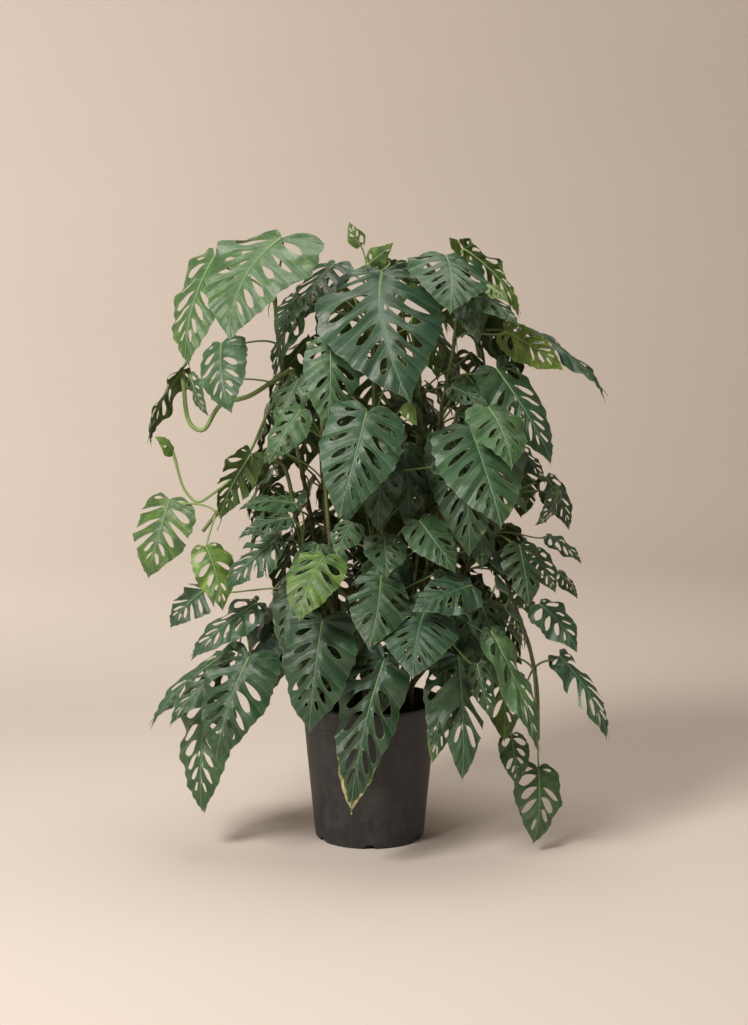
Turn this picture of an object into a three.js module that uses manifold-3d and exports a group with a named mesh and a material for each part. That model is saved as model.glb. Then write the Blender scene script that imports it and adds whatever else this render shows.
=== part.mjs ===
// A swiss cheese vine in its nursery pot: a thin black pot, its soil, and leafy stems whose
// holed blades hang over the rim. Millimetres, +Z up, +X right, seen from -Y.
// The origin is the middle of the pot's flat base.

import * as THREE from 'three';
import { mergeVertices } from 'three/addons/utils/BufferGeometryUtils.js';
import Module from 'manifold-3d';

const wasm = await Module();
wasm.setup();

// Driving dimensions
const POT_HEIGHT = 248;
const RIM_RADIUS = 129;
const BASE_RADIUS = 93;
const POT_WALL = 2;
const POT_FLOOR = 3;
const POT_SIDES = 26;
const DRAIN_NOTCHES = 6;
const NOTCH_WIDTH = 18;
const NOTCH_HEIGHT = 7;
const NOTCH_DEPTH = 21;
const SOIL_TOP = 204;
const SOIL_INSET = 2.9;
const SEAT_GAP = 0.3;
const STEM_RADIUS = 4.6;
const STEM_SIDES = 4;
const STEM_STEP = 80;
const STEM_DEPTH = 50;
const STEM_UPRIGHT = [24, 70];
const HOLE_SIDES = 6;
const HOLE_RADIUS = 5.9;
const BLADE_THICKNESS = 1;

// Petioles: how far inside and below its blade one would leave the stem, how far it reaches
// into the blade, how much of its thickness is left there, and its bend in parts of its own
// reach: on its way out, upwards as it leaves, level and downwards as it comes into the blade
const PETIOLE_RADIUS = 2.3;
const THICK_PETIOLE = 4.4;
const PETIOLE_SIDES = 3;
const PETIOLE_STEPS = 3;
const PETIOLE_INSIDE = 50;
const PETIOLE_BELOW = 60;
const PETIOLE_REACH = 5;
const PETIOLE_POINT = 0.15;
const PETIOLE_BEND = { out: 0.3, rise: 0.2, over: 0.26, fall: 0.16 };
const LOWEST_NODE = 290;

// Fusing: the largest crumb that may be dropped, the grid that corners are snapped to, the
// distance under which two corners are one, and where a tube's end is looked for
const LARGEST_CRUMB = 3;
const GRID = 0.01;
const WELD = 1e-4;
const END_RADII = 1.1;

// Blade forms. A margin runs from the base to the tip of one half: how far along the midrib,
// in parts of the length, and how far out, in parts of the half width. Each hole lies between
// two side veins: its start on the midrib, its reach along it, and its two ends' way out.
const FORMS = {
  broad: {
    margin: [[-0.1, 0.34], [-0.05, 0.8], [0.16, 1], [0.44, 0.9], [0.7, 0.54], [0.9, 0.17]],
    rib: [0.5],
    holes: [[0.06, 0.12, 0.24, 0.78], [0.25, 0.16, 0.2, 0.8], [0.44, 0.15, 0.2, 0.56]],
  },
  oval: {
    margin: [[-0.08, 0.42], [0.06, 0.9], [0.34, 0.98], [0.67, 0.6], [0.89, 0.17]],
    rib: [0.5],
    holes: [[0.14, 0.14, 0.22, 0.76], [0.38, 0.15, 0.22, 0.68]],
  },
  small: {
    margin: [[-0.05, 0.45], [0.16, 0.95], [0.5, 0.88], [0.84, 0.26]],
    rib: [0.5],
    holes: [[0.26, 0.16, 0.24, 0.7]],
  },
  torn: {
    margin: [
      [-0.06, 0.44], [0.12, 0.92], [0.27, 1], [0.2, 0.34], [0.36, 0.97], [0.53, 0.86],
      [0.42, 0.3], [0.61, 0.76], [0.87, 0.26],
    ],
    rib: [0.5],
    holes: [],
  },
  young: {
    margin: [[-0.03, 0.5], [0.3, 1], [0.7, 0.5]],
    rib: [0.45],
    holes: [],
  },
};

// A hole's two bellies, towards the tip and towards the base, from its middle
const HOLE_BELLIES = [[0.041, -0.02], [-0.034, 0.04]];

// Blade curve, in parts of the length: rise of the midrib, fall of each half from it,
// curl of the margins, the wave along them and the bow of the midrib. Each leaf in turn
// takes its wave a phase step further.
const ARCH = 0.07;
const FOLD = 0.1;
const CURL = 0.12;
const WAVE = 0.022;
const BOW = 0.03;
const WAVES_ALONG = 2;
const PHASE_STEP = 1.7;
const BOW_PHASES = 3;

// Leafy stems. foot is where a stem leaves the soil, route is its way up from there.
// Each leaf: where its blade begins, its tip, its width, the way its top faces (degrees
// round from the front, degrees up) and how far its midrib bows aside, its form, and the way
// of its petiole where that one is long and thick.
const STEMS = [
  {
    name: 'stem_upper_left',
    foot: [-48, 28],
    route: [[-70, 10, 380], [-100, -10, 560], [-130, -25, 720], [-155, -30, 860], [-165, -35, 990]],
    leaves: [
      [[-150, -60, 1058], [-232, -200, 890], 176, [-15, 35, -0.07], 'broad'],
      [[-272, 20, 1026], [-318, -40, 838], 130, [-40, 20], 'broad'],
      [[-250, -100, 880], [-230, -165, 765], 95, [-25, 20], 'oval'],
      [
        [-325, -10, 832], [-385, -45, 702], 84, [-110, 30], 'oval',
        [[-132, -30, 832], [-208, -32, 788], [-258, -30, 772], [-290, -26, 728], [-312, -22, 740]],
      ],
      [[-305, -70, 825], [-275, -90, 755], 38, [-60, 20], 'small'],
      [
        [-338, -60, 694], [-366, -80, 722], 40, [0, 50], 'young',
        [[-172, -55, 765], [-202, -68, 700], [-236, -78, 650], [-270, -76, 622], [-296, -72, 608],
          [-318, -66, 628]],
      ],
      [[-165, 30, 800], [-196, 60, 665], 92, [-95, 15], 'oval'],
      [[-150, 30, 590], [-192, 55, 455], 84, [-85, 20], 'small'],
    ],
  },
  {
    name: 'stem_mid_left',
    foot: [-66, -8],
    route: [
      [-90, -30, 400], [-125, -55, 570], [-155, -80, 680], [-200, -95, 665], [-245, -100, 610],
      [-285, -95, 560],
    ],
    leaves: [
      [[-200, -110, 695], [-255, -140, 585], 72, [-150, 10], 'torn'],
      [[-346, -50, 610], [-384, -85, 475], 112, [-20, 25], 'torn'],
      [[-276, -125, 538], [-246, -148, 430], 76, [20, 25], 'small'],
      [[-282, -45, 455], [-348, -70, 388], 78, [-25, 40], 'torn'],
      [[-130, -105, 610], [-222, -130, 604], 58, [-20, 60], 'small'],
      [[-135, -150, 590], [-220, -178, 560], 48, [-10, 55], 'small'],
      [[-160, -130, 550], [-245, -160, 470], 75, [-25, 35], 'torn'],
    ],
  },
  {
    name: 'stem_lower_left',
    foot: [-78, 14],
    route: [[-105, 5, 330], [-150, -10, 392], [-205, -35, 410], [-250, -45, 370]],
    leaves: [
      [[-195, -90, 435], [-310, -130, 345], 78, [-30, 45], 'oval'],
      [[-250, -60, 340], [-385, -105, 220], 55, [-40, 45], 'small'],
      [[-240, -100, 325], [-345, -140, 230], 60, [-20, 40], 'small'],
      [[-205, -140, 350], [-260, -190, 175], 126, [-10, 35], 'broad'],
      [[-284, -60, 258], [-292, -110, 65], 116, [-30, 20], 'broad'],
    ],
  },
  {
    name: 'stem_top',
    foot: [2, 30],
    route: [[5, 20, 400], [8, 15, 600], [8, 5, 800], [4, -10, 940], [-5, -30, 1010]],
    leaves: [
      [[-15, -40, 1045], [-35, -50, 1086], 32, [0, 10], 'young'],
      [[0, -50, 1015], [42, -65, 1050], 36, [40, 20], 'young'],
      [[22, -50, 1000], [68, -225, 790], 226, [5, 40, -0.06], 'broad'],
      [[-60, 0, 1015], [-125, -75, 910], 96, [-30, 40], 'oval'],
      [[-120, -100, 960], [-160, -118, 900], 52, [-30, 30], 'small'],
      [[-118, -62, 955], [-165, -95, 820], 70, [-50, 15], 'small'],
    ],
  },
  {
    name: 'stem_upper_right',
    foot: [44, 34],
    route: [[72, 25, 400], [100, 15, 600], [130, 5, 780], [150, 0, 900], [150, -10, 1000]],
    leaves: [
      [[132, -20, 1030], [134, -175, 935], 144, [10, 40], 'broad'],
      [[155, -20, 1035], [135, -55, 1060], 32, [-40, 30], 'young'],
      [[165, 12, 1042], [264, -38, 924], 90, [140, 45], 'oval'],
      [[198, -86, 978], [234, -110, 950], 38, [20, 50], 'small'],
      [[168, -70, 965], [255, -110, 910], 66, [30, 50], 'small'],
      [[235, -40, 900], [335, -70, 835], 80, [150, 30], 'oval'],
      [[260, 0, 910], [415, -50, 785], 78, [60, 60], 'oval'],
      [[140, -78, 806], [204, -105, 776], 46, [10, 40], 'small'],
      [[220, -45, 835], [315, -95, 675], 102, [25, 25], 'broad'],
    ],
  },
  {
    name: 'stem_centre_left',
    foot: [-34, -34],
    route: [[-50, -60, 360], [-66, -80, 520], [-78, -85, 680], [-84, -70, 830]],
    leaves: [
      [[-65, -120, 880], [-70, -155, 735], 98, [5, 20], 'oval'],
      [[-120, -90, 820], [-160, -115, 730], 62, [-20, 20], 'small'],
      [[-115, -130, 770], [-170, -155, 680], 66, [-15, 20], 'small'],
      [[-75, -190, 530], [-115, -265, 435], 96, [-10, 35], 'oval'],
      [[-28, -138, 580], [-54, -180, 530], 56, [-10, 30], 'small'],
      [[-125, -140, 465], [-145, -170, 360], 70, [-20, 25], 'small'],
      [[-38, -48, 700], [-42, -82, 565], 84, [-5, 10], 'small'],
    ],
  },
  {
    name: 'stem_centre',
    foot: [8, -52],
    route: [[14, -80, 360], [20, -95, 520], [26, -95, 660], [30, -90, 760]],
    leaves: [
      [[-4, -180, 768], [-50, -250, 600], 138, [-5, 25], 'broad'],
      [[25, -110, 700], [15, -145, 560], 76, [0, 20], 'small'],
      [[60, -150, 780], [80, -160, 745], 26, [0, 10], 'young'],
      [[25, -150, 560], [30, -225, 500], 76, [5, 30], 'small'],
      [[20, -190, 495], [0, -275, 390], 106, [5, 35], 'torn'],
      [[58, -60, 705], [66, -100, 565], 84, [5, 10], 'small'],
      [[48, -46, 512], [44, -80, 396], 68, [5, 15], 'small'],
    ],
  },
  {
    name: 'stem_centre_right',
    foot: [46, -36],
    route: [[78, -55, 360], [105, -70, 520], [130, -70, 650], [150, -60, 760]],
    leaves: [
      [[85, -150, 585], [145, -200, 505], 80, [20, 30], 'oval'],
      [[172, -140, 738], [218, -250, 585], 156, [10, 30], 'broad'],
      [[200, -140, 775], [235, -230, 680], 106, [20, 30], 'oval'],
      [[145, -80, 715], [170, -130, 515], 118, [5, 20], 'broad'],
      [[205, 10, 690], [238, 40, 550], 92, [95, 15], 'oval'],
      [[188, -76, 612], [194, -110, 492], 76, [20, 10], 'small'],
    ],
  },
  {
    name: 'stem_mid_right',
    foot: [76, -2],
    route: [[105, -12, 360], [160, -30, 470], [225, -40, 560], [265, -40, 650]],
    leaves: [
      [[255, -50, 700], [305, -70, 640], 46, [30, 30], 'small'],
      [[305, -60, 650], [345, -85, 560], 60, [30, 20], 'small'],
      [[322, -108, 632], [282, -125, 572], 40, [60, 20], 'small'],
      [[310, -40, 545], [370, -60, 500], 42, [40, 40], 'small'],
      [[330, -30, 480], [365, -45, 435], 36, [40, 30], 'small'],
      [[285, -90, 525], [320, -110, 455], 52, [20, 20], 'small'],
      [[255, -120, 540], [270, -155, 440], 76, [15, 15], 'torn'],
      [[295, -70, 430], [360, -100, 350], 76, [30, 25], 'small'],
    ],
  },
  {
    name: 'stem_lower_right',
    foot: [74, -36],
    route: [
      [100, -65, 320], [145, -95, 410], [200, -95, 440], [258, -75, 400], [290, -62, 300],
      [296, -60, 195],
    ],
    leaves: [
      [[335, -30, 330], [420, -75, 190], 66, [35, 25], 'torn'],
      [[190, -120, 440], [226, -150, 335], 62, [20, 20], 'small'],
      [[215, -120, 360], [230, -160, 205], 90, [170, 10], 'torn'],
      [[205, -178, 402], [288, -228, 200], 60, [30, 25], 'small'],
      [[245, -100, 205], [255, -125, 120], 56, [0, 10], 'small'],
      [[295, -80, 140], [285, -115, 12], 86, [10, 15], 'oval'],
    ],
  },
  {
    name: 'stem_front',
    foot: [-8, -78],
    route: [[-5, -95, 310], [25, -120, 390], [80, -135, 420], [130, -135, 390]],
    leaves: [
      [[-78, -190, 422], [-100, -240, 240], 126, [-5, 25], 'broad'],
      [[25, -170, 350], [-32, -240, 100], 108, [0, 20], 'broad'],
      [[90, -210, 435], [70, -330, 355], 122, [5, 55], 'broad'],
      [[170, -180, 480], [70, -250, 450], 86, [0, 40], 'oval'],
      [[130, -160, 340], [105, -195, 205], 70, [0, 15], 'small'],
      [[150, -180, 360], [155, -235, 155], 86, [5, 15], 'torn'],
      [[145, -140, 295], [105, -175, 170], 56, [0, 10], 'small'],
      [[180, -206, 352], [206, -230, 262], 42, [0, 15], 'small'],
    ],
  },
  {
    name: 'stem_back_left',
    foot: [-30, 62],
    route: [[-55, 90, 380], [-80, 115, 560], [-90, 120, 740], [-80, 105, 900]],
    leaves: [],
  },
  {
    name: 'stem_back',
    foot: [4, 74],
    route: [[6, 105, 380], [8, 130, 560], [8, 130, 740], [5, 110, 900]],
    leaves: [],
  },
  {
    name: 'stem_back_right',
    foot: [40, 64],
    route: [[65, 90, 380], [86, 98, 540], [94, 98, 700], [90, 105, 820]],
    leaves: [],
  },
];

// The hidden side of the crown: how wide it is at each height, as parts of its widest,
// and the half widths that this is measured in
const CROWN = [[150, 0.84], [400, 1], [620, 1], [800, 0.94], [940, 0.66], [1040, 0.3]];
const CROWN_HALF = [235, 300];
const CROWN_TOP = 1030;
const CROWN_FALL = 740;

// Its leaves: their number, and the least and the spread of their way round, of their length,
// and of their width and drop in parts of the length. The degrees round part its three stems.
const BACK_LEAVES = 18;
const BACK_ROUND = [98, 164];
const BACK_LENGTH = [140, 60];
const BACK_WIDTH = [0.6, 0.12];
const BACK_DROP = [0.78, 0.08];
const BACK_UP = 30;
const BACK_PARTINGS = [152, 208];
const OVAL_FROM = 180;
const GOLDEN = 0.618034;
const SEED = 4127;
const DRAW_FACTOR = 16807;
const DRAW_RANGE = 2147483647;

const LEAF_GREEN = 0x4f7358;
const POT_BLACK = 0x35302d;
const SOIL_BROWN = 0x3a2b20;

function material(color, roughness) {
  return new THREE.MeshStandardMaterial({ color, roughness, metalness: 0 });
}

function solidFrom(geometry) {
  const plain = geometry.clone();
  plain.deleteAttribute('normal');
  plain.deleteAttribute('uv');
  const merged = mergeVertices(plain, WELD);
  return new wasm.Manifold(new wasm.Mesh({
    numProp: 3,
    vertProperties: new Float32Array(merged.attributes.position.array),
    triVerts: new Uint32Array(merged.index.array),
  }));
}

// Corners are snapped to a fine grid, which closes the slivers that fusing leaves
function meshFrom(solid, name, look) {
  const { vertProperties, triVerts } = solid.getMesh();
  const loose = new THREE.BufferGeometry();
  const places = vertProperties.map((value) => Math.round(value / GRID) * GRID);
  loose.setAttribute('position', new THREE.BufferAttribute(places, 3));
  loose.setIndex(new THREE.BufferAttribute(triVerts, 1));
  const geometry = mergeVertices(loose, GRID / 4);
  const corners = [...geometry.index.array];
  const faces = corners.filter((_, i) => {
    const first = i - i % 3;
    return new Set(corners.slice(first, first + 3)).size === 3;
  });
  geometry.setIndex(faces);
  geometry.computeVertexNormals();
  const mesh = new THREE.Mesh(geometry, look);
  mesh.name = name;
  return mesh;
}

// The one body of a fused solid: crumbs and sealed specks that fusing leaves are dropped
function wholeOf(solid, name) {
  const [body, ...scraps] = solid.decompose().sort((a, b) => b.volume() - a.volume());
  for (const scrap of scraps) {
    if (Math.abs(scrap.volume()) < LARGEST_CRUMB) continue;
    throw new Error(`a piece of ${name} hangs loose near ${scrap.boundingBox().max}`);
  }
  return body;
}

function turned(profile, sides) {
  const points = profile.map(([radius, height]) => new THREE.Vector2(radius, height));
  return new THREE.LatheGeometry(points, sides).rotateX(Math.PI / 2);
}

function along(table, at) {
  let [low, high] = [table[0], table[table.length - 1]];
  for (const row of table) {
    if (row[0] <= at) low = row;
  }
  for (const row of [...table].reverse()) {
    if (row[0] >= at) high = row;
  }
  const span = high[0] - low[0];
  return span > 0 ? low[1] + (high[1] - low[1]) * (at - low[0]) / span : low[1];
}

// Pot: its outer wall as radius and height, and which of those corners the inside follows

const WALL_PROFILE = [
  [BASE_RADIUS, 0], [98, 9], [117, 212], [122, 214], [123, 235], [RIM_RADIUS, 239],
  [RIM_RADIUS, POT_HEIGHT],
];
const INNER_CORNERS = [6, 4, 2, 1];

function potMesh() {
  const inner = INNER_CORNERS.map((i) => WALL_PROFILE[i])
    .map(([radius, height]) => [radius - POT_WALL, height]);
  const profile = [[0, 0], ...WALL_PROFILE, ...inner];
  profile.push([BASE_RADIUS - POT_WALL, POT_FLOOR], [0, POT_FLOOR]);
  let pot = solidFrom(turned(profile, POT_SIDES));
  for (let i = 0; i < DRAIN_NOTCHES; i += 1) {
    const angle = 2 * Math.PI * (i + 0.5) / DRAIN_NOTCHES;
    const cutter = new THREE.BoxGeometry(NOTCH_DEPTH, NOTCH_WIDTH, NOTCH_HEIGHT * 2);
    cutter.translate(BASE_RADIUS + POT_WALL, 0, 0);
    pot = pot.subtract(solidFrom(cutter.rotateZ(angle)));
  }
  return meshFrom(pot, 'pot', material(POT_BLACK, 0.62));
}

// Soil: its foot as radius and height, and its top as parts of the brim's radius and height
// over SOIL_TOP

const SOIL_FOOT = [[88, POT_FLOOR + SEAT_GAP], [94, 12]];
const SOIL_DOME = [[1, -6], [0.86, -3], [0.5, 0], [0, 2]];

function soilMesh() {
  const wall = WALL_PROFILE.map(([radius, height]) => [height, radius]);
  const brim = along(wall, SOIL_TOP) - SOIL_INSET;
  const dome = SOIL_DOME.map(([share, height]) => [brim * share, SOIL_TOP + height]);
  const profile = [[0, POT_FLOOR + SEAT_GAP], ...SOIL_FOOT, ...dome];
  let soil = solidFrom(turned(profile, POT_SIDES));
  for (const stem of STEMS) {
    const hole = new THREE.CylinderGeometry(
      HOLE_RADIUS, HOLE_RADIUS, STEM_DEPTH * 2, HOLE_SIDES,
    );
    hole.rotateX(Math.PI / 2);
    hole.translate(stem.foot[0], stem.foot[1], SOIL_TOP);
    soil = soil.subtract(solidFrom(hole));
  }
  return meshFrom(soil, 'soil', material(SOIL_BROWN, 0.95));
}

// Stems and petioles

function tube(curve, radius, sides, steps, point = 1) {
  const section = new THREE.Shape();
  for (let i = 0; i < sides; i += 1) {
    const angle = 2 * Math.PI * i / sides;
    const [x, y] = [radius * Math.cos(angle), radius * Math.sin(angle)];
    if (i === 0) section.moveTo(x, y);
    else section.lineTo(x, y);
  }
  section.closePath();
  const solid = new THREE.ExtrudeGeometry(section, {
    steps, extrudePath: curve, bevelEnabled: false, curveSegments: 1,
  });
  const end = curve.getPointAt(1);
  const places = solid.attributes.position;
  const corner = new THREE.Vector3();
  for (let i = 0; i < places.count; i += 1) {
    corner.fromBufferAttribute(places, i);
    if (corner.distanceTo(end) > radius * END_RADII) continue;
    corner.lerp(end, 1 - point);
    places.setXYZ(i, corner.x, corner.y, corner.z);
  }
  return solid;
}

function stemCurve(stem) {
  const [x, y] = stem.foot;
  const heights = [SEAT_GAP - STEM_DEPTH, ...STEM_UPRIGHT].map((height) => SOIL_TOP + height);
  const points = [...heights.map((height) => [x, y, height]), ...stem.route];
  return new THREE.CatmullRomCurve3(points.map((point) => new THREE.Vector3(...point)));
}

// A petiole leaves the stem nearest to a point below and inside the blade's beginning,
// rises away from it and comes over into the blade.
function petioleCurve(nodes, leaf) {
  const { base, chord, way } = leaf;
  const level = new THREE.Vector3(chord.x, chord.y, 0);
  const wanted = base.clone().addScaledVector(level, -PETIOLE_INSIDE);
  wanted.z -= PETIOLE_BELOW;
  if (way) wanted.set(...way[0]);
  const [start] = nodes.sort((a, b) => a.distanceTo(wanted) - b.distanceTo(wanted));
  const ribEnd = FORMS[leaf.form].rib[0];
  const end = base.clone().lerp(bladePoint(leaf, ribEnd, 0), PETIOLE_REACH / leaf.length / ribEnd)
    .addScaledVector(leaf.across, PETIOLE_RADIUS / 2);
  if (way) {
    const points = way.map((point) => new THREE.Vector3(...point));
    return new THREE.CatmullRomCurve3([start, ...points, end]);
  }
  const reach = base.distanceTo(start);
  const rise = base.clone().sub(start).multiplyScalar(PETIOLE_BEND.out);
  rise.z += PETIOLE_BEND.rise * reach;
  const arrive = level.multiplyScalar(PETIOLE_BEND.over * reach);
  arrive.z += PETIOLE_BEND.fall * reach;
  return new THREE.CubicBezierCurve3(start, start.clone().add(rise), end.clone().sub(arrive), end);
}

// Blades

function makeLeaf([base, tip, width, [round, up, aside = 0], form, way], index) {
  const from = new THREE.Vector3(...base);
  const chord = new THREE.Vector3(...tip).sub(from);
  const length = chord.length();
  chord.normalize();
  const turn = THREE.MathUtils.degToRad(round);
  const lift = THREE.MathUtils.degToRad(up);
  const facing = new THREE.Vector3(
    Math.sin(turn) * Math.cos(lift), -Math.cos(turn) * Math.cos(lift), Math.sin(lift),
  );
  facing.addScaledVector(chord, -facing.dot(chord)).normalize();
  const across = new THREE.Vector3().crossVectors(facing, chord);
  const phase = index * PHASE_STEP;
  const half = width / 2 / length;
  const bow = aside + BOW * Math.sin(phase * BOW_PHASES);
  return { base: from, chord, length, half, facing, across, phase, bow, form, way };
}

// A point of the blade's middle surface: s along the midrib, w out from it
function bladePoint(leaf, s, w) {
  const out = Math.abs(w);
  const away = out * leaf.half;
  const wave = WAVE * out * Math.sin(2 * Math.PI * WAVES_ALONG * s + leaf.phase + Math.sign(w));
  const bow = leaf.bow * 4 * s * (1 - s);
  const height = ARCH * 4 * s * (1 - s) - FOLD * away - CURL * away * out + wave;
  return leaf.base.clone()
    .addScaledVector(leaf.chord, s * leaf.length)
    .addScaledVector(leaf.across, (w * leaf.half + bow) * leaf.length)
    .addScaledVector(leaf.facing, height * leaf.length);
}

// Four corners of a hole: its inner and outer end, and a belly on each side
function holeCorners([start, reach, near, far]) {
  const [s, w] = [start + reach / 2, (near + far) / 2];
  const [front, back] = HOLE_BELLIES.map(([along, out]) => [s + along, w + out]);
  return [[start, near], front, [start + reach, far], back];
}

function bladeSolid(leaf) {
  const { margin, rib, holes } = FORMS[leaf.form];
  const laid = (p) => new THREE.Vector2(p.x, p.y * leaf.half + leaf.bow * 4 * p.x * (1 - p.x));
  const tops = [];
  for (const side of [1, -1]) {
    const flat = ([s, w]) => new THREE.Vector2(s, w * side);
    // Each half is cut in two at the midrib's bend, and its triangles are chosen on the blade
    // laid flat with its bow, so that none folds over
    const bend = [rib[0], 0];
    const rear = [[[0, 0], ...margin.slice(0, -1), bend], holes];
    const front = [[bend, ...margin.slice(-2), [1, 0]], []];
    for (const [outline, openings] of [rear, front]) {
      const contour = outline.map(flat);
      const cuts = openings.map((hole) => holeCorners(hole).map(flat));
      const points = [contour, ...cuts].flat();
      const flatCuts = cuts.map((cut) => cut.map(laid));
      for (const [a, b, c] of THREE.ShapeUtils.triangulateShape(contour.map(laid), flatCuts)) {
        const corners = [points[a], points[b], points[c]];
        if (THREE.ShapeUtils.area(corners.map(laid)) < 0) corners.reverse();
        tops.push(corners);
      }
    }
  }
  const half = leaf.facing.clone().multiplyScalar(BLADE_THICKNESS / 2);
  const upper = (p) => bladePoint(leaf, p.x, p.y).add(half);
  const lower = (p) => bladePoint(leaf, p.x, p.y).sub(half);
  // Adding 0 turns -0 into 0, so both halves name a point of the midrib alike
  const key = (p, q) => `${p.x},${p.y + 0}>${q.x},${q.y + 0}`;
  const edges = new Map();
  const corners = [];
  for (const [a, b, c] of tops) {
    corners.push(upper(a), upper(b), upper(c), lower(c), lower(b), lower(a));
    for (const [p, q] of [[a, b], [b, c], [c, a]]) edges.set(key(p, q), [p, q]);
  }
  for (const [p, q] of edges.values()) {
    if (edges.has(key(q, p))) continue;
    corners.push(lower(p), lower(q), upper(q), lower(p), upper(q), upper(p));
  }
  return solidFrom(new THREE.BufferGeometry().setFromPoints(corners));
}

// Leaves of the hidden side, laid out by a rule with seeded draws: the golden ratio
// spreads them round it, and each hangs out and down from within the crown.
function addBackLeaves() {
  let seed = SEED;
  const draw = ([least, spread]) => {
    seed = (seed * DRAW_FACTOR) % DRAW_RANGE;
    return least + spread * seed / DRAW_RANGE;
  };
  const [left, middle, right] = STEMS.slice(-3);
  for (let i = 0; i < BACK_LEAVES; i += 1) {
    const round = BACK_ROUND[0] + BACK_ROUND[1] * ((i * GOLDEN) % 1);
    const angle = THREE.MathUtils.degToRad(round);
    const top = CROWN_TOP - CROWN_FALL * (i + 0.5) / BACK_LEAVES;
    const length = draw(BACK_LENGTH);
    const width = length * draw(BACK_WIDTH);
    const drop = length * draw(BACK_DROP);
    const out = Math.sqrt(length * length - drop * drop);
    const spread = along(CROWN, top - drop / 2);
    const [tipX, tipY] = [
      Math.sin(angle) * CROWN_HALF[0] * spread, -Math.cos(angle) * CROWN_HALF[1] * spread,
    ];
    const away = Math.hypot(tipX, tipY);
    const [baseX, baseY] = [tipX - out * tipX / away, tipY - out * tipY / away];
    const beside = round > BACK_PARTINGS[1] ? left : middle;
    const stem = round < BACK_PARTINGS[0] ? right : beside;
    const [base, tip] = [[baseX, baseY, top], [tipX, tipY, top - drop]];
    stem.leaves.push([base, tip, width, [round, BACK_UP], length > OVAL_FROM ? 'oval' : 'small']);
  }
}

function stemMesh(stem, first) {
  const line = stemCurve(stem);
  const steps = Math.round(line.getLength() / STEM_STEP);
  const rings = line.getSpacedPoints(steps);
  const nodes = rings.slice(1).map((point, i) => point.clone().lerp(rings[i], 0.5))
    .filter((point) => point.z > LOWEST_NODE);
  let solid = solidFrom(tube(line, STEM_RADIUS, STEM_SIDES, steps));
  stem.leaves.forEach((row, i) => {
    const leaf = makeLeaf(row, first + i);
    const [radius, pieces] = leaf.way
      ? [THICK_PETIOLE, PETIOLE_STEPS * leaf.way.length]
      : [PETIOLE_RADIUS, PETIOLE_STEPS];
    const petiole = tube(petioleCurve(nodes, leaf), radius, PETIOLE_SIDES, pieces, PETIOLE_POINT);
    solid = solid.add(solidFrom(petiole)).add(bladeSolid(leaf));
  });
  return meshFrom(wholeOf(solid, stem.name), stem.name, material(LEAF_GREEN, 0.45));
}

addBackLeaves();
const plant = new THREE.Group();
plant.add(potMesh(), soilMesh());
let count = 0;
for (const stem of STEMS) {
  plant.add(stemMesh(stem, count));
  count += stem.leaves.length;
}

export default plant;
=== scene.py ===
"""A swiss cheese vine in its nursery pot: fine blades, stalks, pot, soil and a plain studio.

Lengths in the tables are millimetres, and the scene is in metres. +Z is up, +X is right and
the plant is seen from -Y. The origin is the middle of the pot's flat base.
"""

import math
import random
from dataclasses import dataclass, field

import bpy
import numpy as np
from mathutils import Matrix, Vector, noise
from mathutils.geometry import delaunay_2d_cdt
from mathutils.kdtree import KDTree


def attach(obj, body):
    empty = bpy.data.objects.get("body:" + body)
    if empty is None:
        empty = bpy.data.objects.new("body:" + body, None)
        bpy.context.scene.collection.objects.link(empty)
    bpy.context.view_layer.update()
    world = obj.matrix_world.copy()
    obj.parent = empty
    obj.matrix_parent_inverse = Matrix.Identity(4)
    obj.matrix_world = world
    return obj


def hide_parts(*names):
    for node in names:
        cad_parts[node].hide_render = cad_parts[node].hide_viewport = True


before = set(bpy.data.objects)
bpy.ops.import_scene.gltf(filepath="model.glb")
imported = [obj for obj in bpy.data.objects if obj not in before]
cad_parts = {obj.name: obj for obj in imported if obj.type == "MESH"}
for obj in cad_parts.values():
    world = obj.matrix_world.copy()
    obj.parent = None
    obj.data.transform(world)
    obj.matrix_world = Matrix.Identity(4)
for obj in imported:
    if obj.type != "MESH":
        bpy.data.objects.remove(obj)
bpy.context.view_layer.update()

bl_info = {
    "name": "Potted swiss cheese vine",
    "version": (1, 0, 0),
    "blender": (4, 5, 0),
    "location": "View3D > Sidebar > Vine",
    "description": "Builds a potted vine with holed blades around its packed frame",
    "category": "Object",
}

MM = 0.001
ROOT = "root"
SEED = 4127


# Layout of the plant

@dataclass
class Leaf:
    """A blade: where it begins, its tip and width, the way its top faces (degrees round from
    the front, degrees up, bow of the midrib), its form, how fresh it is from 0, old and
    bluish, to 1, young and lime, how open its holes are, the way of a long petiole, how
    finely its mesh is cut, and how dry its edge is towards the tip."""

    base: tuple
    tip: tuple
    width: float
    facing: tuple
    form: str
    fresh: float = 0.3
    open: float = 0.5
    way: tuple = ()
    fineness: float = 1
    dry: float = 0.2


@dataclass
class Stem:
    """A leafy stem: its node, where it leaves the soil, its way up from there, its leaves, and
    the leaves inside the crown as (leaf, number) pairs."""

    name: str
    foot: tuple
    route: tuple
    leaves: list = field(default_factory=list)
    inner: list = field(default_factory=list)


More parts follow.
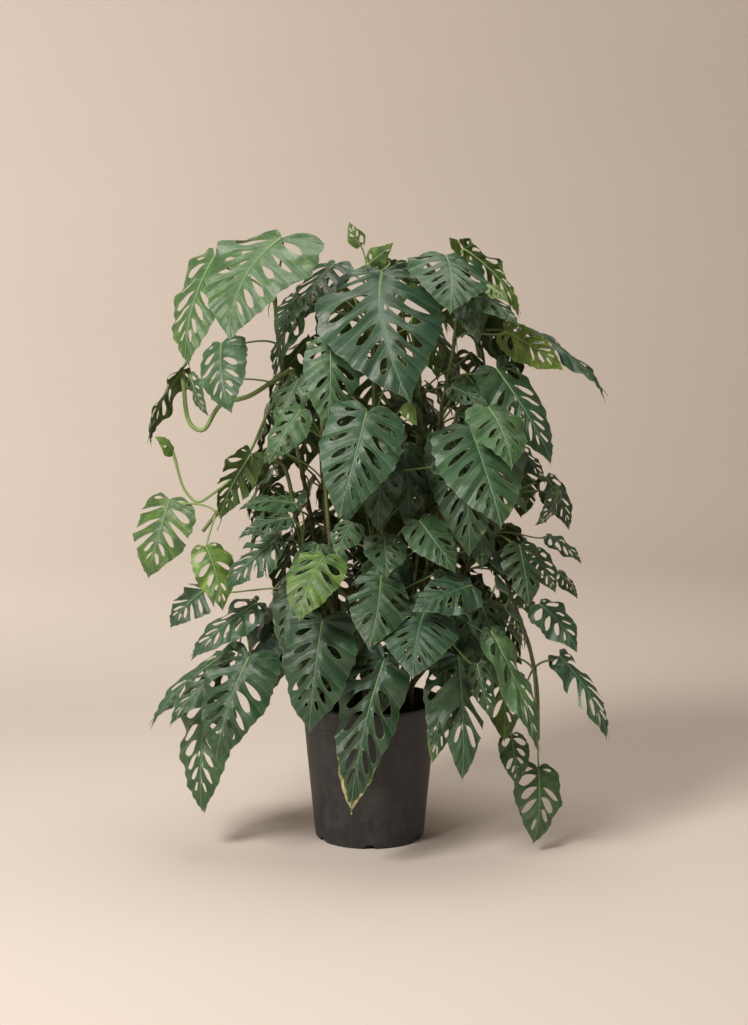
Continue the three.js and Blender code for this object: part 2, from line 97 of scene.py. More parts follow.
STEMS = [
    Stem("stem_upper_left", (-48, 28), (
        (-70, 10, 380), (-100, -10, 560), (-130, -25, 720), (-155, -30, 860), (-165, -35, 990),
    ), [
        Leaf((-150, -60, 1058), (-232, -200, 890), 176, (-15, 35, -0.07), "broad", 0.62, 0.5),
        Leaf((-272, 20, 1026), (-318, -40, 838), 130, (-40, 20), "broad", 0.66, 0.7),
        Leaf((-250, -100, 880), (-230, -165, 765), 95, (-25, 20), "oval", 0.4, 0.4),
        Leaf((-325, -10, 832), (-385, -45, 702), 84, (-110, 30), "oval", 0.55, 0.6, (
            (-132, -30, 832), (-208, -32, 788), (-258, -30, 772), (-290, -26, 728),
            (-312, -22, 740),
        )),
        Leaf((-305, -70, 825), (-275, -90, 755), 38, (-60, 20), "small", 0.55),
        Leaf((-338, -60, 694), (-366, -80, 722), 40, (0, 50), "young", 1.0, 0.2, (
            (-172, -55, 765), (-202, -68, 700), (-236, -78, 650), (-270, -76, 622),
            (-296, -72, 608), (-318, -66, 628),
        )),
        Leaf((-165, 30, 800), (-196, 60, 665), 92, (-95, 15), "oval", 0.3),
        Leaf((-150, 30, 590), (-192, 55, 455), 84, (-85, 20), "small", 0.1),
    ]),
    Stem("stem_mid_left", (-66, -8), (
        (-90, -30, 400), (-125, -55, 570), (-155, -80, 680), (-200, -95, 665),
        (-245, -100, 610), (-285, -95, 560),
    ), [
        Leaf((-200, -110, 695), (-255, -140, 585), 72, (-150, 10), "torn", 0.2, 0.7),
        Leaf((-346, -50, 610), (-384, -85, 475), 112, (-20, 25), "torn", 0.78, 0.6),
        Leaf((-276, -125, 538), (-246, -148, 430), 76, (20, 25), "small", 0.9, 0.5),
        Leaf((-282, -45, 455), (-348, -70, 388), 78, (-25, 40), "torn", 0.25, 0.7),
        Leaf((-130, -105, 610), (-222, -130, 604), 58, (-20, 60), "small", 0.45),
        Leaf((-135, -150, 590), (-220, -178, 560), 48, (-10, 55), "small", 0.15),
        Leaf((-160, -130, 550), (-245, -160, 470), 75, (-25, 35), "torn", 0.2, 0.8),
    ]),
    Stem("stem_lower_left", (-78, 14), (
        (-105, 5, 330), (-150, -10, 392), (-205, -35, 410), (-250, -45, 370),
    ), [
        Leaf((-195, -90, 435), (-310, -130, 345), 78, (-30, 45), "oval", 0.2, 0.6),
        Leaf((-250, -60, 340), (-385, -105, 220), 55, (-40, 45), "small", 0.3),
        Leaf((-240, -100, 325), (-345, -140, 230), 60, (-20, 40), "small", 0.35, 0.7),
        Leaf((-205, -140, 350), (-260, -190, 175), 126, (-10, 35), "broad", 0.32, 0.85),
        Leaf((-284, -60, 258), (-292, -110, 65), 116, (-30, 20), "broad", 0.5, 0.6),
    ]),
    Stem("stem_top", (2, 30), (
        (5, 20, 400), (8, 15, 600), (8, 5, 800), (4, -10, 940), (-5, -30, 1010),
    ), [
        Leaf((-15, -40, 1045), (-35, -50, 1086), 32, (0, 10), "young", 0.85, 0.8),
        Leaf((0, -50, 1015), (42, -65, 1050), 36, (40, 20), "young", 0.85, 0.5),
        Leaf((22, -50, 1000), (68, -225, 790), 226, (5, 40, -0.06), "broad", 0.12, 0.55),
        Leaf((-60, 0, 1015), (-125, -75, 910), 96, (-30, 40), "oval", 0.25),
        Leaf((-120, -100, 960), (-160, -118, 900), 52, (-30, 30), "small", 0.3),
        Leaf((-118, -62, 955), (-165, -95, 820), 70, (-50, 15), "small", 0.35),
    ]),
    Stem("stem_upper_right", (44, 34), (
        (72, 25, 400), (100, 15, 600), (130, 5, 780), (150, 0, 900), (150, -10, 1000),
    ), [
        Leaf((132, -20, 1030), (134, -175, 935), 144, (10, 40), "broad", 0.28, 0.4),
        Leaf((155, -20, 1035), (135, -55, 1060), 32, (-40, 30), "young", 0.75),
        Leaf((165, 12, 1042), (264, -38, 924), 90, (140, 45), "oval", 0.5),
        Leaf((198, -86, 978), (234, -110, 950), 38, (20, 50), "small", 0.9),
        Leaf((168, -70, 965), (255, -110, 910), 66, (30, 50), "small", 0.4),
        Leaf((235, -40, 900), (335, -70, 835), 80, (150, 30), "oval", 0.6, 0.7),
        Leaf((260, 0, 910), (415, -50, 785), 78, (60, 60), "oval", 0.1, 0.5),
        Leaf((140, -78, 806), (204, -105, 776), 46, (10, 40), "small", 0.3),
        Leaf((220, -45, 835), (315, -95, 675), 102, (25, 25), "broad", 0.35, 0.6),
    ]),
    Stem("stem_centre_left", (-34, -34), (
        (-50, -60, 360), (-66, -80, 520), (-78, -85, 680), (-84, -70, 830),
    ), [
        Leaf((-65, -120, 880), (-70, -155, 735), 98, (5, 20), "oval", 0.42, 0.5),
        Leaf((-120, -90, 820), (-160, -115, 730), 62, (-20, 20), "small", 0.45),
        Leaf((-115, -130, 770), (-170, -155, 680), 66, (-15, 20), "small", 0.5),
        Leaf((-75, -190, 530), (-115, -265, 435), 96, (-10, 35), "oval", 0.82, 0.5),
        Leaf((-28, -138, 580), (-54, -180, 530), 56, (-10, 30), "small", 0.4),
        Leaf((-125, -140, 465), (-145, -170, 360), 70, (-20, 25), "small", 0.15, 0.7),
        Leaf((-38, -48, 700), (-42, -82, 565), 84, (-5, 10), "small", 0.2),
    ]),
    Stem("stem_centre", (8, -52), (
        (14, -80, 360), (20, -95, 520), (26, -95, 660), (30, -90, 760),
    ), [
        Leaf((-4, -180, 768), (-50, -250, 600), 138, (-5, 25), "broad", 0.18, 0.5),
        Leaf((25, -110, 700), (15, -145, 560), 76, (0, 20), "small", 0.1),
        Leaf((60, -150, 780), (80, -160, 745), 26, (0, 10), "young", 1.0),
        Leaf((25, -150, 560), (30, -225, 500), 76, (5, 30), "small", 0.3),
        Leaf((20, -190, 495), (0, -275, 390), 106, (5, 35), "torn", 0.35, 0.9),
        Leaf((58, -60, 705), (66, -100, 565), 84, (5, 10), "small", 0.2),
        Leaf((48, -46, 512), (44, -80, 396), 68, (5, 15), "small", 0.2),
    ]),
    Stem("stem_centre_right", (46, -36), (
        (78, -55, 360), (105, -70, 520), (130, -70, 650), (150, -60, 760),
    ), [
        Leaf((85, -150, 585), (145, -200, 505), 80, (20, 30), "oval", 0.4),
        Leaf((172, -140, 738), (218, -250, 585), 156, (10, 30), "broad", 0.36, 0.4),
        Leaf((200, -140, 775), (235, -230, 680), 106, (20, 30), "oval", 0.52, 0.3),
        Leaf((145, -80, 715), (170, -130, 515), 118, (5, 20), "broad", 0.3),
        Leaf((205, 10, 690), (238, 40, 550), 92, (95, 15), "oval", 0.3),
        Leaf((188, -76, 612), (194, -110, 492), 76, (20, 10), "small", 0.2),
    ]),
    Stem("stem_mid_right", (76, -2), (
        (105, -12, 360), (160, -30, 470), (225, -40, 560), (265, -40, 650),
    ), [
        Leaf((255, -50, 700), (305, -70, 640), 46, (30, 30), "small", 0.2),
        Leaf((305, -60, 650), (345, -85, 560), 60, (30, 20), "small", 0.2),
        Leaf((322, -108, 632), (282, -125, 572), 40, (60, 20), "small", 0.3),
        Leaf((310, -40, 545), (370, -60, 500), 42, (40, 40), "small", 0.3, 0.8),
        Leaf((330, -30, 480), (365, -45, 435), 36, (40, 30), "small", 0.4),
        Leaf((285, -90, 525), (320, -110, 455), 52, (20, 20), "small", 0.45),
        Leaf((255, -120, 540), (270, -155, 440), 76, (15, 15), "torn", 0.3, 0.7),
        Leaf((295, -70, 430), (360, -100, 350), 76, (30, 25), "small", 0.2, 0.6),
    ]),
    Stem("stem_lower_right", (74, -36), (
        (100, -65, 320), (145, -95, 410), (200, -95, 440), (258, -75, 400), (290, -62, 300),
        (296, -60, 195),
    ), [
        Leaf((335, -30, 330), (420, -75, 190), 66, (35, 25), "torn", 0.15, 1.0),
        Leaf((190, -120, 440), (226, -150, 335), 62, (20, 20), "small", 0.3),
        Leaf((215, -120, 360), (230, -160, 205), 90, (170, 10), "torn", 0.5, 0.8),
        Leaf((205, -178, 402), (288, -228, 200), 60, (30, 25), "small", 0.55, 0.2),
        Leaf((245, -100, 205), (255, -125, 120), 56, (0, 10), "small", 0.4, 0.8),
        Leaf((295, -80, 140), (285, -115, 12), 86, (10, 15), "oval", 0.55, 1.0),
    ]),
    Stem("stem_front", (-8, -78), (
        (-5, -95, 310), (25, -120, 390), (80, -135, 420), (130, -135, 390),
    ), [
        Leaf((-78, -190, 422), (-100, -240, 240), 126, (-5, 25), "broad", 0.2, 0.4),
        Leaf((25, -170, 350), (-32, -240, 100), 108, (0, 20), "broad", 0.2, 0.9, dry=1.15),
        Leaf((90, -210, 435), (70, -330, 355), 122, (5, 55), "broad", 0.1, 0.5),
        Leaf((170, -180, 480), (70, -250, 450), 86, (0, 40), "oval", 0.08, 0.4),
        Leaf((130, -160, 340), (105, -195, 205), 70, (0, 15), "small", 0.3, 0.7),
        Leaf((150, -180, 360), (155, -235, 155), 86, (5, 15), "torn", 0.25, 1.0),
        Leaf((145, -140, 295), (105, -175, 170), 56, (0, 10), "small", 0.3, 0.7),
        Leaf((180, -206, 352), (206, -230, 262), 42, (0, 15), "small", 0.35),
    ]),
    Stem("stem_back_left", (-30, 62), (
        (-55, 90, 380), (-80, 115, 560), (-90, 120, 740), (-80, 105, 900),
    )),
    Stem("stem_back", (4, 74), (
        (6, 105, 380), (8, 130, 560), (8, 130, 740), (5, 110, 900),
    )),
    Stem("stem_back_right", (40, 64), (
        (65, 90, 380), (86, 98, 540), (94, 98, 700), (90, 105, 820),
    )),
]

# The crown: how wide it is at each height, as parts of its widest, and its half width and half
# depth where it is widest
CROWN = ((150, 0.84), (400, 1), (620, 1), (800, 0.94), (940, 0.66), (1040, 0.3))
CROWN_HALF = (235, 300)

# The leaves of the hidden side: the height of the highest, how far down they go, how many they
# are and where the three stems part, in degrees round. The next pairs are the least and the
# spread of their turn, their length, their width and drop in parts of it, and their looks.
CROWN_TOP = 1030
CROWN_FALL = 740
BACK_LEAVES = 18
BACK_PARTINGS = (152, 208)
BACK_ROUND = (98, 164)
BACK_LENGTH = (140, 60)
BACK_WIDTH = (0.6, 0.12)
BACK_DROP = (0.78, 0.08)
BACK_FRESH = (0.1, 0.5)
BACK_OPEN = (0.4, 0.5)
BACK_UP = 30
OVAL_FROM = 180
GOLDEN = 0.618034
DRAW_FACTOR = 16807
DRAW_RANGE = 2147483647

# The leaves inside the crown: how many are tried and how many kept at most, and the ranges of
# how far and how high they begin from their node, and of their sizes and looks. They turn out
# from a line in front of the pot's middle, and so far to either side.
INNER_TRIES = 14000
INNER_MOST = 300
INNER_AXIS = -40
INNER_SPREAD = 80
INNER_REACH = (15, 115)
INNER_RISE = (5, 60)
INNER_LENGTH = (85, 155)
INNER_WIDTH = (0.62, 0.8)
INNER_DROP = (0.62, 0.95)
INNER_TURN = 25
INNER_UP = (15, 40)
INNER_LOOKS = (0, 0.4)
INNER_FORMS = ("small", "oval", "oval", "torn")
INNER_FINENESS = 0.6

# Where their tips may hang: within these halves of the crown about this middle, and no lower
INNER_HALF = (262, 268)
INNER_MIDDLE = (40, 0)
INNER_LOWEST = 110

# What they keep clear of: the pot's rim by its outer radius, width and height, the soil by its
# height, other blades, and the blades in front, by how near a point is behind one
RIM_CLEAR = (142, 30, 262)
SOIL_CLEAR = 222
INNER_CLEAR = 7
INNER_BEHIND = 14

# Stems and petioles, as in the frame
SOIL_TOP = 204
STEM_RADIUS = 4.6
STEM_STEP = 80
STEM_HEIGHTS = (154.3, 228, 274)
PETIOLE_INSIDE = 50
PETIOLE_BELOW = 60
PETIOLE_BEND = {"out": 0.3, "rise": 0.2, "over": 0.26, "fall": 0.16}
THICK_PETIOLE = 4.4
LOWEST_NODE = 290

# Blade curve, in parts of the length, as in the frame
ARCH = 0.07
FOLD = 0.1
CURL = 0.12
WAVE = 0.022
BOW = 0.03
WAVES_ALONG = 2
PHASE_STEP = 1.7
BOW_PHASES = 3


@dataclass
class Form:
    """A blade form: its margin from base to tip as parts of the length and of the half width,
    its side veins to a whole midrib, where the first hole lies between them, and the holes
    that are torn open to the margin."""

    margin: tuple
    veins: float
    first: float
    torn: tuple = ()


FORMS = {
    "broad": Form(
        ((-0.05, 0.09), (-0.1, 0.34), (-0.05, 0.8), (0.16, 1), (0.44, 0.92), (0.7, 0.6),
         (0.9, 0.2), (0.965, 0.055)),
        8, 0.4,
    ),
    "oval": Form(
        ((-0.045, 0.12), (-0.08, 0.42), (0.06, 0.9), (0.34, 0.99), (0.67, 0.66), (0.89, 0.21),
         (0.96, 0.055)),
        7, 0.5,
    ),
    "small": Form(
        ((-0.03, 0.14), (-0.05, 0.45), (0.16, 0.95), (0.5, 0.9), (0.84, 0.3), (0.95, 0.07)),
        6, 0.4,
    ),
    "torn": Form(
        ((-0.03, 0.13), (-0.06, 0.44), (0.12, 0.92), (0.27, 1), (0.53, 0.88), (0.87, 0.29),
         (0.96, 0.06)),
        7, 0.6, (0, 1, 2),
    ),
    "young": Form(((-0.03, 0.5), (0.3, 1), (0.7, 0.5), (0.92, 0.13)), 4, 0.5),
}

# Side veins leave the midrib forwards, and more so towards the tip. In the lobes behind the
# petiole they fan out from it.
SWEEP = 0.1
LEAN = 0.6
LOBE_VEINS = 2.0


# Lines and curves

def spline(points, steps):
    """A centripetal Catmull-Rom curve through the points, with so many steps to a span."""
    points = np.asarray(points, float)
    ends = (2 * points[0] - points[1], 2 * points[-1] - points[-2])
    padded = np.vstack([ends[0], points, ends[1]])
    made = []
    along = np.linspace(0, 1, steps, endpoint=False)[:, None]
    for p0, p1, p2, p3 in zip(padded, padded[1:], padded[2:], padded[3:]):
        d0, d1, d2 = (max(np.linalg.norm(b - a) ** 0.5, 1e-6)
                      for a, b in ((p0, p1), (p1, p2), (p2, p3)))
        m1 = ((p1 - p0) / d0 - (p2 - p0) / (d0 + d1) + (p2 - p1) / d1) * d1
        m2 = ((p2 - p1) / d1 - (p3 - p1) / (d1 + d2) + (p3 - p2) / d2) * d1
        made.append(
            p1 + m1 * along + (3 * (p2 - p1) - 2 * m1 - m2) * along ** 2
            + (2 * (p1 - p2) + m1 + m2) * along ** 3
        )
    return np.vstack([*made, points[-1:]])


def measured(points):
    """How far along the line each point lies."""
    steps = np.linalg.norm(np.diff(points, axis=0), axis=1)
    return np.concatenate([[0], np.cumsum(steps)])


def spaced(points, count):
    """The line cut into so many equal steps."""
    along = measured(points)
    wanted = np.linspace(0, along[-1], count + 1)
    return np.column_stack([np.interp(wanted, along, column) for column in points.T])


def unit(vector):
    return vector / np.linalg.norm(vector)


def within(outline, points):
    """Whether each point lies within the closed outline."""
    x, y = points[:, 0, None], points[:, 1, None]
    (ax, ay), (bx, by) = outline.T, np.roll(outline, -1, axis=0).T
    rise = np.where(by == ay, 1, by - ay)
    crossed = ((ay > y) != (by > y)) & (x < (bx - ax) * (y - ay) / rise + ax)
    return crossed.sum(axis=1) % 2 == 1


# Leaves in place

class Blade:
    """A leaf's axes and curve, and its surface: s along the midrib, w out from it."""

    def __init__(self, leaf, index):
        self.leaf = leaf
        self.form = FORMS[leaf.form]
        self.base = np.array(leaf.base, float)
        chord = np.array(leaf.tip, float) - self.base
        self.length = np.linalg.norm(chord)
        self.chord = chord / self.length
        turn, lift = (math.radians(angle) for angle in leaf.facing[:2])
        facing = np.array([
            math.sin(turn) * math.cos(lift), -math.cos(turn) * math.cos(lift), math.sin(lift),
        ])
        self.facing = unit(facing - facing.dot(self.chord) * self.chord)
        self.across = np.cross(self.facing, self.chord)
        self.phase = index * PHASE_STEP
        self.half = leaf.width / 2 / self.length
        aside = leaf.facing[2] if len(leaf.facing) > 2 else 0
        self.bow = aside + BOW * math.sin(self.phase * BOW_PHASES)
        self.chance = random.Random(SEED + index)

    def surface(self, s, w):
        out = np.abs(w)
        away = out * self.half
        wave = WAVE * out * np.sin(2 * math.pi * WAVES_ALONG * s + self.phase + np.sign(w))
        hump = 4 * s * (1 - s)
        height = ARCH * hump - FOLD * away - CURL * away * out + wave
        aside = w * self.half + self.bow * hump
        return self.base + self.length * (
            np.outer(s, self.chord) + np.outer(aside, self.across)
            + np.outer(height, self.facing)
        )

    def normals(self, s, w):
        step = 0.004
        forward = self.surface(s + step, w) - self.surface(s - step, w)
        sideways = self.surface(s, w + step) - self.surface(s, w - step)
        normal = np.cross(forward, sideways)
        normal /= np.linalg.norm(normal, axis=1)[:, None]
        return normal * np.sign(normal @ self.facing)[:, None]

    def vein_at(self, s, w):
        """The side vein coordinate: whole numbers are veins, and halves lie between them."""
        out = np.abs(w)
        along = s - SWEEP * out
        first = 0.5 - self.form.first
        ahead = along / (1 + LEAN * out) * self.form.veins
        fan = LOBE_VEINS * np.arctan2(along, self.half * out + 1e-6)
        return first + np.where(along >= 0, ahead, fan)

    def vein_place(self, vein, reach):
        """The point (s, w) so far out along a side vein."""
        first = 0.5 - self.form.first
        along = (vein - first) / self.form.veins
        turn = np.minimum((vein - first) / LOBE_VEINS, 0)
        out = reach * np.cos(turn)
        ahead = along * (1 + LEAN * reach)
        behind = reach * self.half * np.sin(turn)
        return np.column_stack([np.where(vein >= first, ahead, behind) + SWEEP * out, out])


def add_back_leaves():
    """Leaves of the hidden side, laid out by the frame's own rule and draws."""
    state = SEED

    def draw(span):
        nonlocal state
        state = (state * DRAW_FACTOR) % DRAW_RANGE
        return span[0] + span[1] * state / DRAW_RANGE

    looks = random.Random(SEED)
    left, middle, right = STEMS[-3:]
    heights, spreads = zip(*CROWN)
    for i in range(BACK_LEAVES):
        turn = BACK_ROUND[0] + BACK_ROUND[1] * ((i * GOLDEN) % 1)
        angle = math.radians(turn)
        top = CROWN_TOP - CROWN_FALL * (i + 0.5) / BACK_LEAVES
        length = draw(BACK_LENGTH)
        width = length * draw(BACK_WIDTH)
        drop = length * draw(BACK_DROP)
        spread = np.interp(top - drop / 2, heights, spreads)
        tip = np.array([math.sin(angle) * CROWN_HALF[0], -math.cos(angle) * CROWN_HALF[1]])
        tip *= spread
        base = tip - unit(tip) * math.sqrt(length ** 2 - drop ** 2)
        stem = left if turn > BACK_PARTINGS[1] else middle
        stem = right if turn < BACK_PARTINGS[0] else stem
        stem.leaves.append(Leaf(
            (*base, top), (*tip, top - drop), width, (turn, BACK_UP),
            "oval" if length > OVAL_FROM else "small",
            BACK_FRESH[0] + BACK_FRESH[1] * looks.random(),
            BACK_OPEN[0] + BACK_OPEN[1] * looks.random(),
        ))


def blades_by_stem():
    count, made = 0, {}
    for stem in STEMS:
        made[stem.name] = [Blade(leaf, count + i) for i, leaf in enumerate(stem.leaves)]
        made[stem.name] += [Blade(leaf, number) for leaf, number in stem.inner]
        count += len(stem.leaves)
    return made


def near_points(points, flat=False):
    """A search tree of the points, or of their places in the front view."""
    tree = KDTree(len(points))
    for i, (x, y, z) in enumerate(points):
        tree.insert((x, 0 if flat else y, z), i)
    tree.balance()
    return tree


def surface_samples(blade):
    """Points spread over a blade within its margin."""
    s, w = np.meshgrid(np.linspace(0, 0.94, 9), np.linspace(-1, 1, 7))
    along, out = zip(*((0, 0.4), *blade.form.margin[1:], (1, 0)))
    reach = np.interp(s, along, out)
    return blade.surface(s.ravel(), (w * reach).ravel())


def add_inner_leaves():
    """Leaves that fill the crown behind the placed ones. Each grows from a stem's node, is kept
    clear of every blade before it, and stays behind the blades that are seen in front."""
    chance = random.Random(SEED)
    placed = [blade for blades in blades_by_stem().values() for blade in blades]
    front = np.vstack([surface_samples(blade) for blade in placed])
    shown = near_points(front, flat=True)
    every, full = [front], near_points(front)
    nodes = {stem.name: stem_nodes(stem_line(stem)) for stem in STEMS}
    heights, spreads = zip(*CROWN)
    count = len(placed)

    def meets_pot(points):
        level, height = np.hypot(points[:, 0], points[:, 1]), points[:, 2]
        radius, width, top = RIM_CLEAR
        rim = (level > radius - width) & (height < top)
        return ((level < radius) & (rim | (height < SOIL_CLEAR))).any()

    def sticks_out(point):
        around = shown.find_range((point[0], 0, point[2]), INNER_BEHIND)
        return bool(around) and point[1] < min(front[i][1] for _, i, _ in around)

    for _ in range(INNER_TRIES):
        stem = chance.choice(STEMS)
        node = np.array(chance.choice(nodes[stem.name].tolist()))
        around = math.degrees(math.atan2(node[0], INNER_AXIS - node[1]))
        around += chance.uniform(-INNER_SPREAD, INNER_SPREAD)
        angle, reach = math.radians(around), chance.uniform(*INNER_REACH)
        away = np.array([math.sin(angle), -math.cos(angle), 0])
        base = node + away * reach + (0, 0, chance.uniform(*INNER_RISE))
        length, drop = chance.uniform(*INNER_LENGTH), chance.uniform(*INNER_DROP)
        tip = base + length * (away * math.sqrt(1 - drop ** 2) - (0, 0, drop))
        half = np.array(INNER_HALF) * np.interp(tip[2], heights, spreads)
        if tip[2] < INNER_LOWEST or np.hypot(*((tip[:2] - INNER_MIDDLE) / half)) > 1:
            continue
        width = length * chance.uniform(*INNER_WIDTH)
        facing = around + chance.uniform(-INNER_TURN, INNER_TURN), chance.uniform(*INNER_UP)
        form = chance.choice(INNER_FORMS)
        fresh, openness = (chance.uniform(*INNER_LOOKS) for _ in range(2))
        leaf = Leaf(
            tuple(base), tuple(tip), width, facing, form, fresh, openness,
            fineness=INNER_FINENESS)
        points = surface_samples(Blade(leaf, count))
        if meets_pot(points) or any(full.find(point)[2] < INNER_CLEAR for point in points):
            continue
        if any(sticks_out(point) for point in points[::2]):
            continue
        stem.inner.append((leaf, count))
        count += 1
        every.append(points)
        full = near_points(np.vstack(every))
        if count - len(placed) == INNER_MOST:
            break


# Holed outlines

# A margin's draws: how far its points shift along the midrib and the range of their width. Its
# waves: their height in parts of the width, and how many there are in radians.
MARGIN_SHIFT = 0.012
MARGIN_WIDTH = (0.94, 1.03)
MARGIN_WAVE = 0.05
MARGIN_WAVES = 34

# Holes: their steps along, how long ones start and end between the midrib, 0, and the margin,
# 1, and half their girth between two side veins, each with what an open blade adds and the
# range of its draws
LENS_STEPS = 11
HOLE_START = (0.19, -0.09, (-0.04, 0.09))
HOLE_END = (0.78, 0.11, (-0.16, 0.05))
HOLE_GIRTH = (0.14, 0.21, (0.6, 1.3))
TORN_END = 1.3
TORN_SHARE = 0.85
MISSED_SHARE = 0.12

# The small holes by the midrib of a long blade: from which length, how often, and their shape
SMALL_FROM = 170
SMALL_SHARE = 0.4
SMALL_START = 0.07
SMALL_GIRTH = 0.2


def half_margin(blade):
    """One half's margin from the base to the tip, a little unlike the next leaf's."""
    chance = blade.chance
    points = [(0, 0)]
    for s, w in blade.form.margin:
        shift = chance.uniform(-MARGIN_SHIFT, MARGIN_SHIFT)
        points.append((s + shift, w * chance.uniform(*MARGIN_WIDTH)))
    line = spline([*points, (1, 0)], 9)
    waves = MARGIN_WAVES * chance.uniform(0.8, 1.2) * line[:, 0] + chance.uniform(0, 6)
    line[1:-1, 1] *= 1 + MARGIN_WAVE * np.sin(waves[1:-1]) * np.sin(0.6 * waves[1:-1])
    return line


def margin_table(blade, half):
    """Vein numbers all along one half, and how far out each side vein meets the margin."""
    reaches, ends = np.linspace(0.03, 1.7, 120), []
    veins = np.arange(-2.6, blade.form.veins + 1, 0.2)
    for vein in veins:
        places = blade.vein_place(np.full(reaches.shape, vein), reaches)
        outside = np.flatnonzero(~within(half, places))
        ends.append(reaches[outside[0]] if len(outside) else reaches[-1])
    return veins, ends


def lens(blade, table, vein, start, end, girth, torn=False):
    """A long hole between two side veins, from start to end as parts of the way out."""
    along = np.linspace(0, 1, LENS_STEPS)
    if torn:
        swell = np.minimum(along / 0.45, 1) ** 0.6 * (1 - 0.4 * along ** 2)
    else:
        swell = np.sin(math.pi * along) ** 0.75 * (0.7 + 0.55 * along)
    middle = vein + blade.chance.uniform(-0.05, 0.05) * np.sin(math.pi * along)
    way = (start + (end - start) * along) * np.interp(vein, *table)
    back = slice(None, None, -1) if torn else slice(-2, 0, -1)
    veins = np.concatenate([middle + girth * swell, (middle - girth * swell)[back]])
    return blade.vein_place(veins, np.concatenate([way, way[back]]))


def holes_of(blade, half):
    """The holes of one half, in rows between the side veins."""
    chance, openness, form = blade.chance, blade.leaf.open, blade.form
    table, made = margin_table(blade, half), []

    def drawn(least, opened, span):
        return least + opened * openness + chance.uniform(*span)

    for k in range(-1, int(form.veins * 0.7 - form.first + 0.5) + 1):
        near_tip = max(0, (k + form.first) / form.veins - 0.35)
        vein = k + 0.5 + chance.uniform(-0.05, 0.05)
        start, end = drawn(*HOLE_START), drawn(*HOLE_END) - 0.4 * near_tip
        least, opened, span = HOLE_GIRTH
        girth = (least + opened * openness) * chance.uniform(*span) * (1 - 0.3 * near_tip)
        torn = k in form.torn and chance.random() < TORN_SHARE
        skip = chance.random()
        if k < 0:
            start, end, girth = start + 0.12, end - 0.08, girth * 0.9
        if skip < MISSED_SHARE or (blade.leaf.form == "young" and skip > openness):
            continue
        made.append(lens(blade, table, vein, start, TORN_END if torn else end, girth, torn))
        if k > 1 and blade.length > SMALL_FROM and chance.random() < SMALL_SHARE:
            near = vein + chance.uniform(-0.1, 0.2)
            made.append(lens(blade, table, near, SMALL_START, start * 0.8, SMALL_GIRTH))
    return made


# The flat mesh, in parts of its spacing: how high a row is, and how far its points keep from
# the midrib and from the rim. Then twice the least area of a triangle, in square millimetres.
ROW_HEIGHT = 0.87
CLEAR_OF_RIB = 0.45
CLEAR_OF_RIM = 0.5
LEAST_AREA = 1e-4


def counter_clockwise(loop):
    ahead = np.roll(loop, -1, axis=0)
    area = (loop[:, 0] * ahead[:, 1] - ahead[:, 0] * loop[:, 1]).sum()
    return loop if area > 0 else loop[::-1]


def flat_blade(blade, spacing):
    """The blade laid flat: points (s, w) and the triangles between its margin and holes."""
    halves = [half_margin(blade) for _ in range(2)]
    loops = [np.vstack([halves[0] * (1, -1), halves[1][-2:0:-1]])]
    for half, side in zip(halves, (-1, 1)):
        loops += [hole * (1, side) for hole in holes_of(blade, half)]
    scale = np.array([blade.length, blade.length * blade.half])
    loops = [counter_clockwise(loop * scale) for loop in loops]
    rim = np.vstack(loops)
    low, high = loops[0].min(axis=0), loops[0].max(axis=0)
    rows = np.arange(low[1], high[1], spacing * ROW_HEIGHT)
    grid = np.array([
        (x + (i % 2) * spacing / 2, y)
        for i, y in enumerate(rows) for x in np.arange(low[0], high[0], spacing)
    ])
    midrib = np.arange(spacing, blade.length - spacing, spacing)[:, None] * (1, 0)
    grid = np.vstack([grid[np.abs(grid[:, 1]) > spacing * CLEAR_OF_RIB], midrib])
    grid = grid[within(loops[0], grid)]
    gap = np.linalg.norm(grid[:, None] - rim[None], axis=2).min(axis=1)
    grid = grid[gap > spacing * CLEAR_OF_RIM]
    faces, edges, start = [], [], 0
    for loop in loops:
        ring = list(range(start, start + len(loop)))
        faces.append(ring)
        edges += list(zip(ring, ring[1:] + ring[:1]))
        start += len(loop)
    places = [Vector(point) for point in np.vstack([rim, grid])]
    made, _, triangles, _, _, sources = delaunay_2d_cdt(places, edges, faces, 1, 1e-4, True)
    kept = [t for t, source in zip(triangles, sources) if source == [0] and len(t) == 3]
    flat = np.array([tuple(point) for point in made])
    kept = largest_body(np.array(kept), flat)
    used, kept = np.unique(kept, return_inverse=True)
    return flat[used] / scale, kept.reshape(-1, 3)


def largest_body(triangles, flat):
    """The triangles without thin slivers and without scraps that hang on nothing."""
    a, b, c = (flat[triangles[:, i]] for i in range(3))
    area = (b - a)[:, 0] * (c - a)[:, 1] - (b - a)[:, 1] * (c - a)[:, 0]
    triangles = triangles[area > LEAST_AREA]
    owner = list(range(len(flat)))

    def find(i):
        while owner[i] != i:
            owner[i] = owner[owner[i]]
            i = owner[i]
        return i

    for one, two, three in triangles.tolist():
        owner[find(one)] = find(two)
        owner[find(two)] = find(three)
    roots = np.array([find(i) for i in triangles[:, 0].tolist()])
    names, counts = np.unique(roots, return_counts=True)
    return triangles[roots == names[counts.argmax()]]


def rim_edges(triangles):
    """The directed edges that only one triangle has."""
    edges = np.vstack([triangles[:, [0, 1]], triangles[:, [1, 2]], triangles[:, [2, 0]]])
    most = triangles.max() + 1
    keys, backs = edges[:, 0] * most + edges[:, 1], edges[:, 1] * most + edges[:, 0]
    return edges[~np.isin(keys, backs)]


# Building blocks

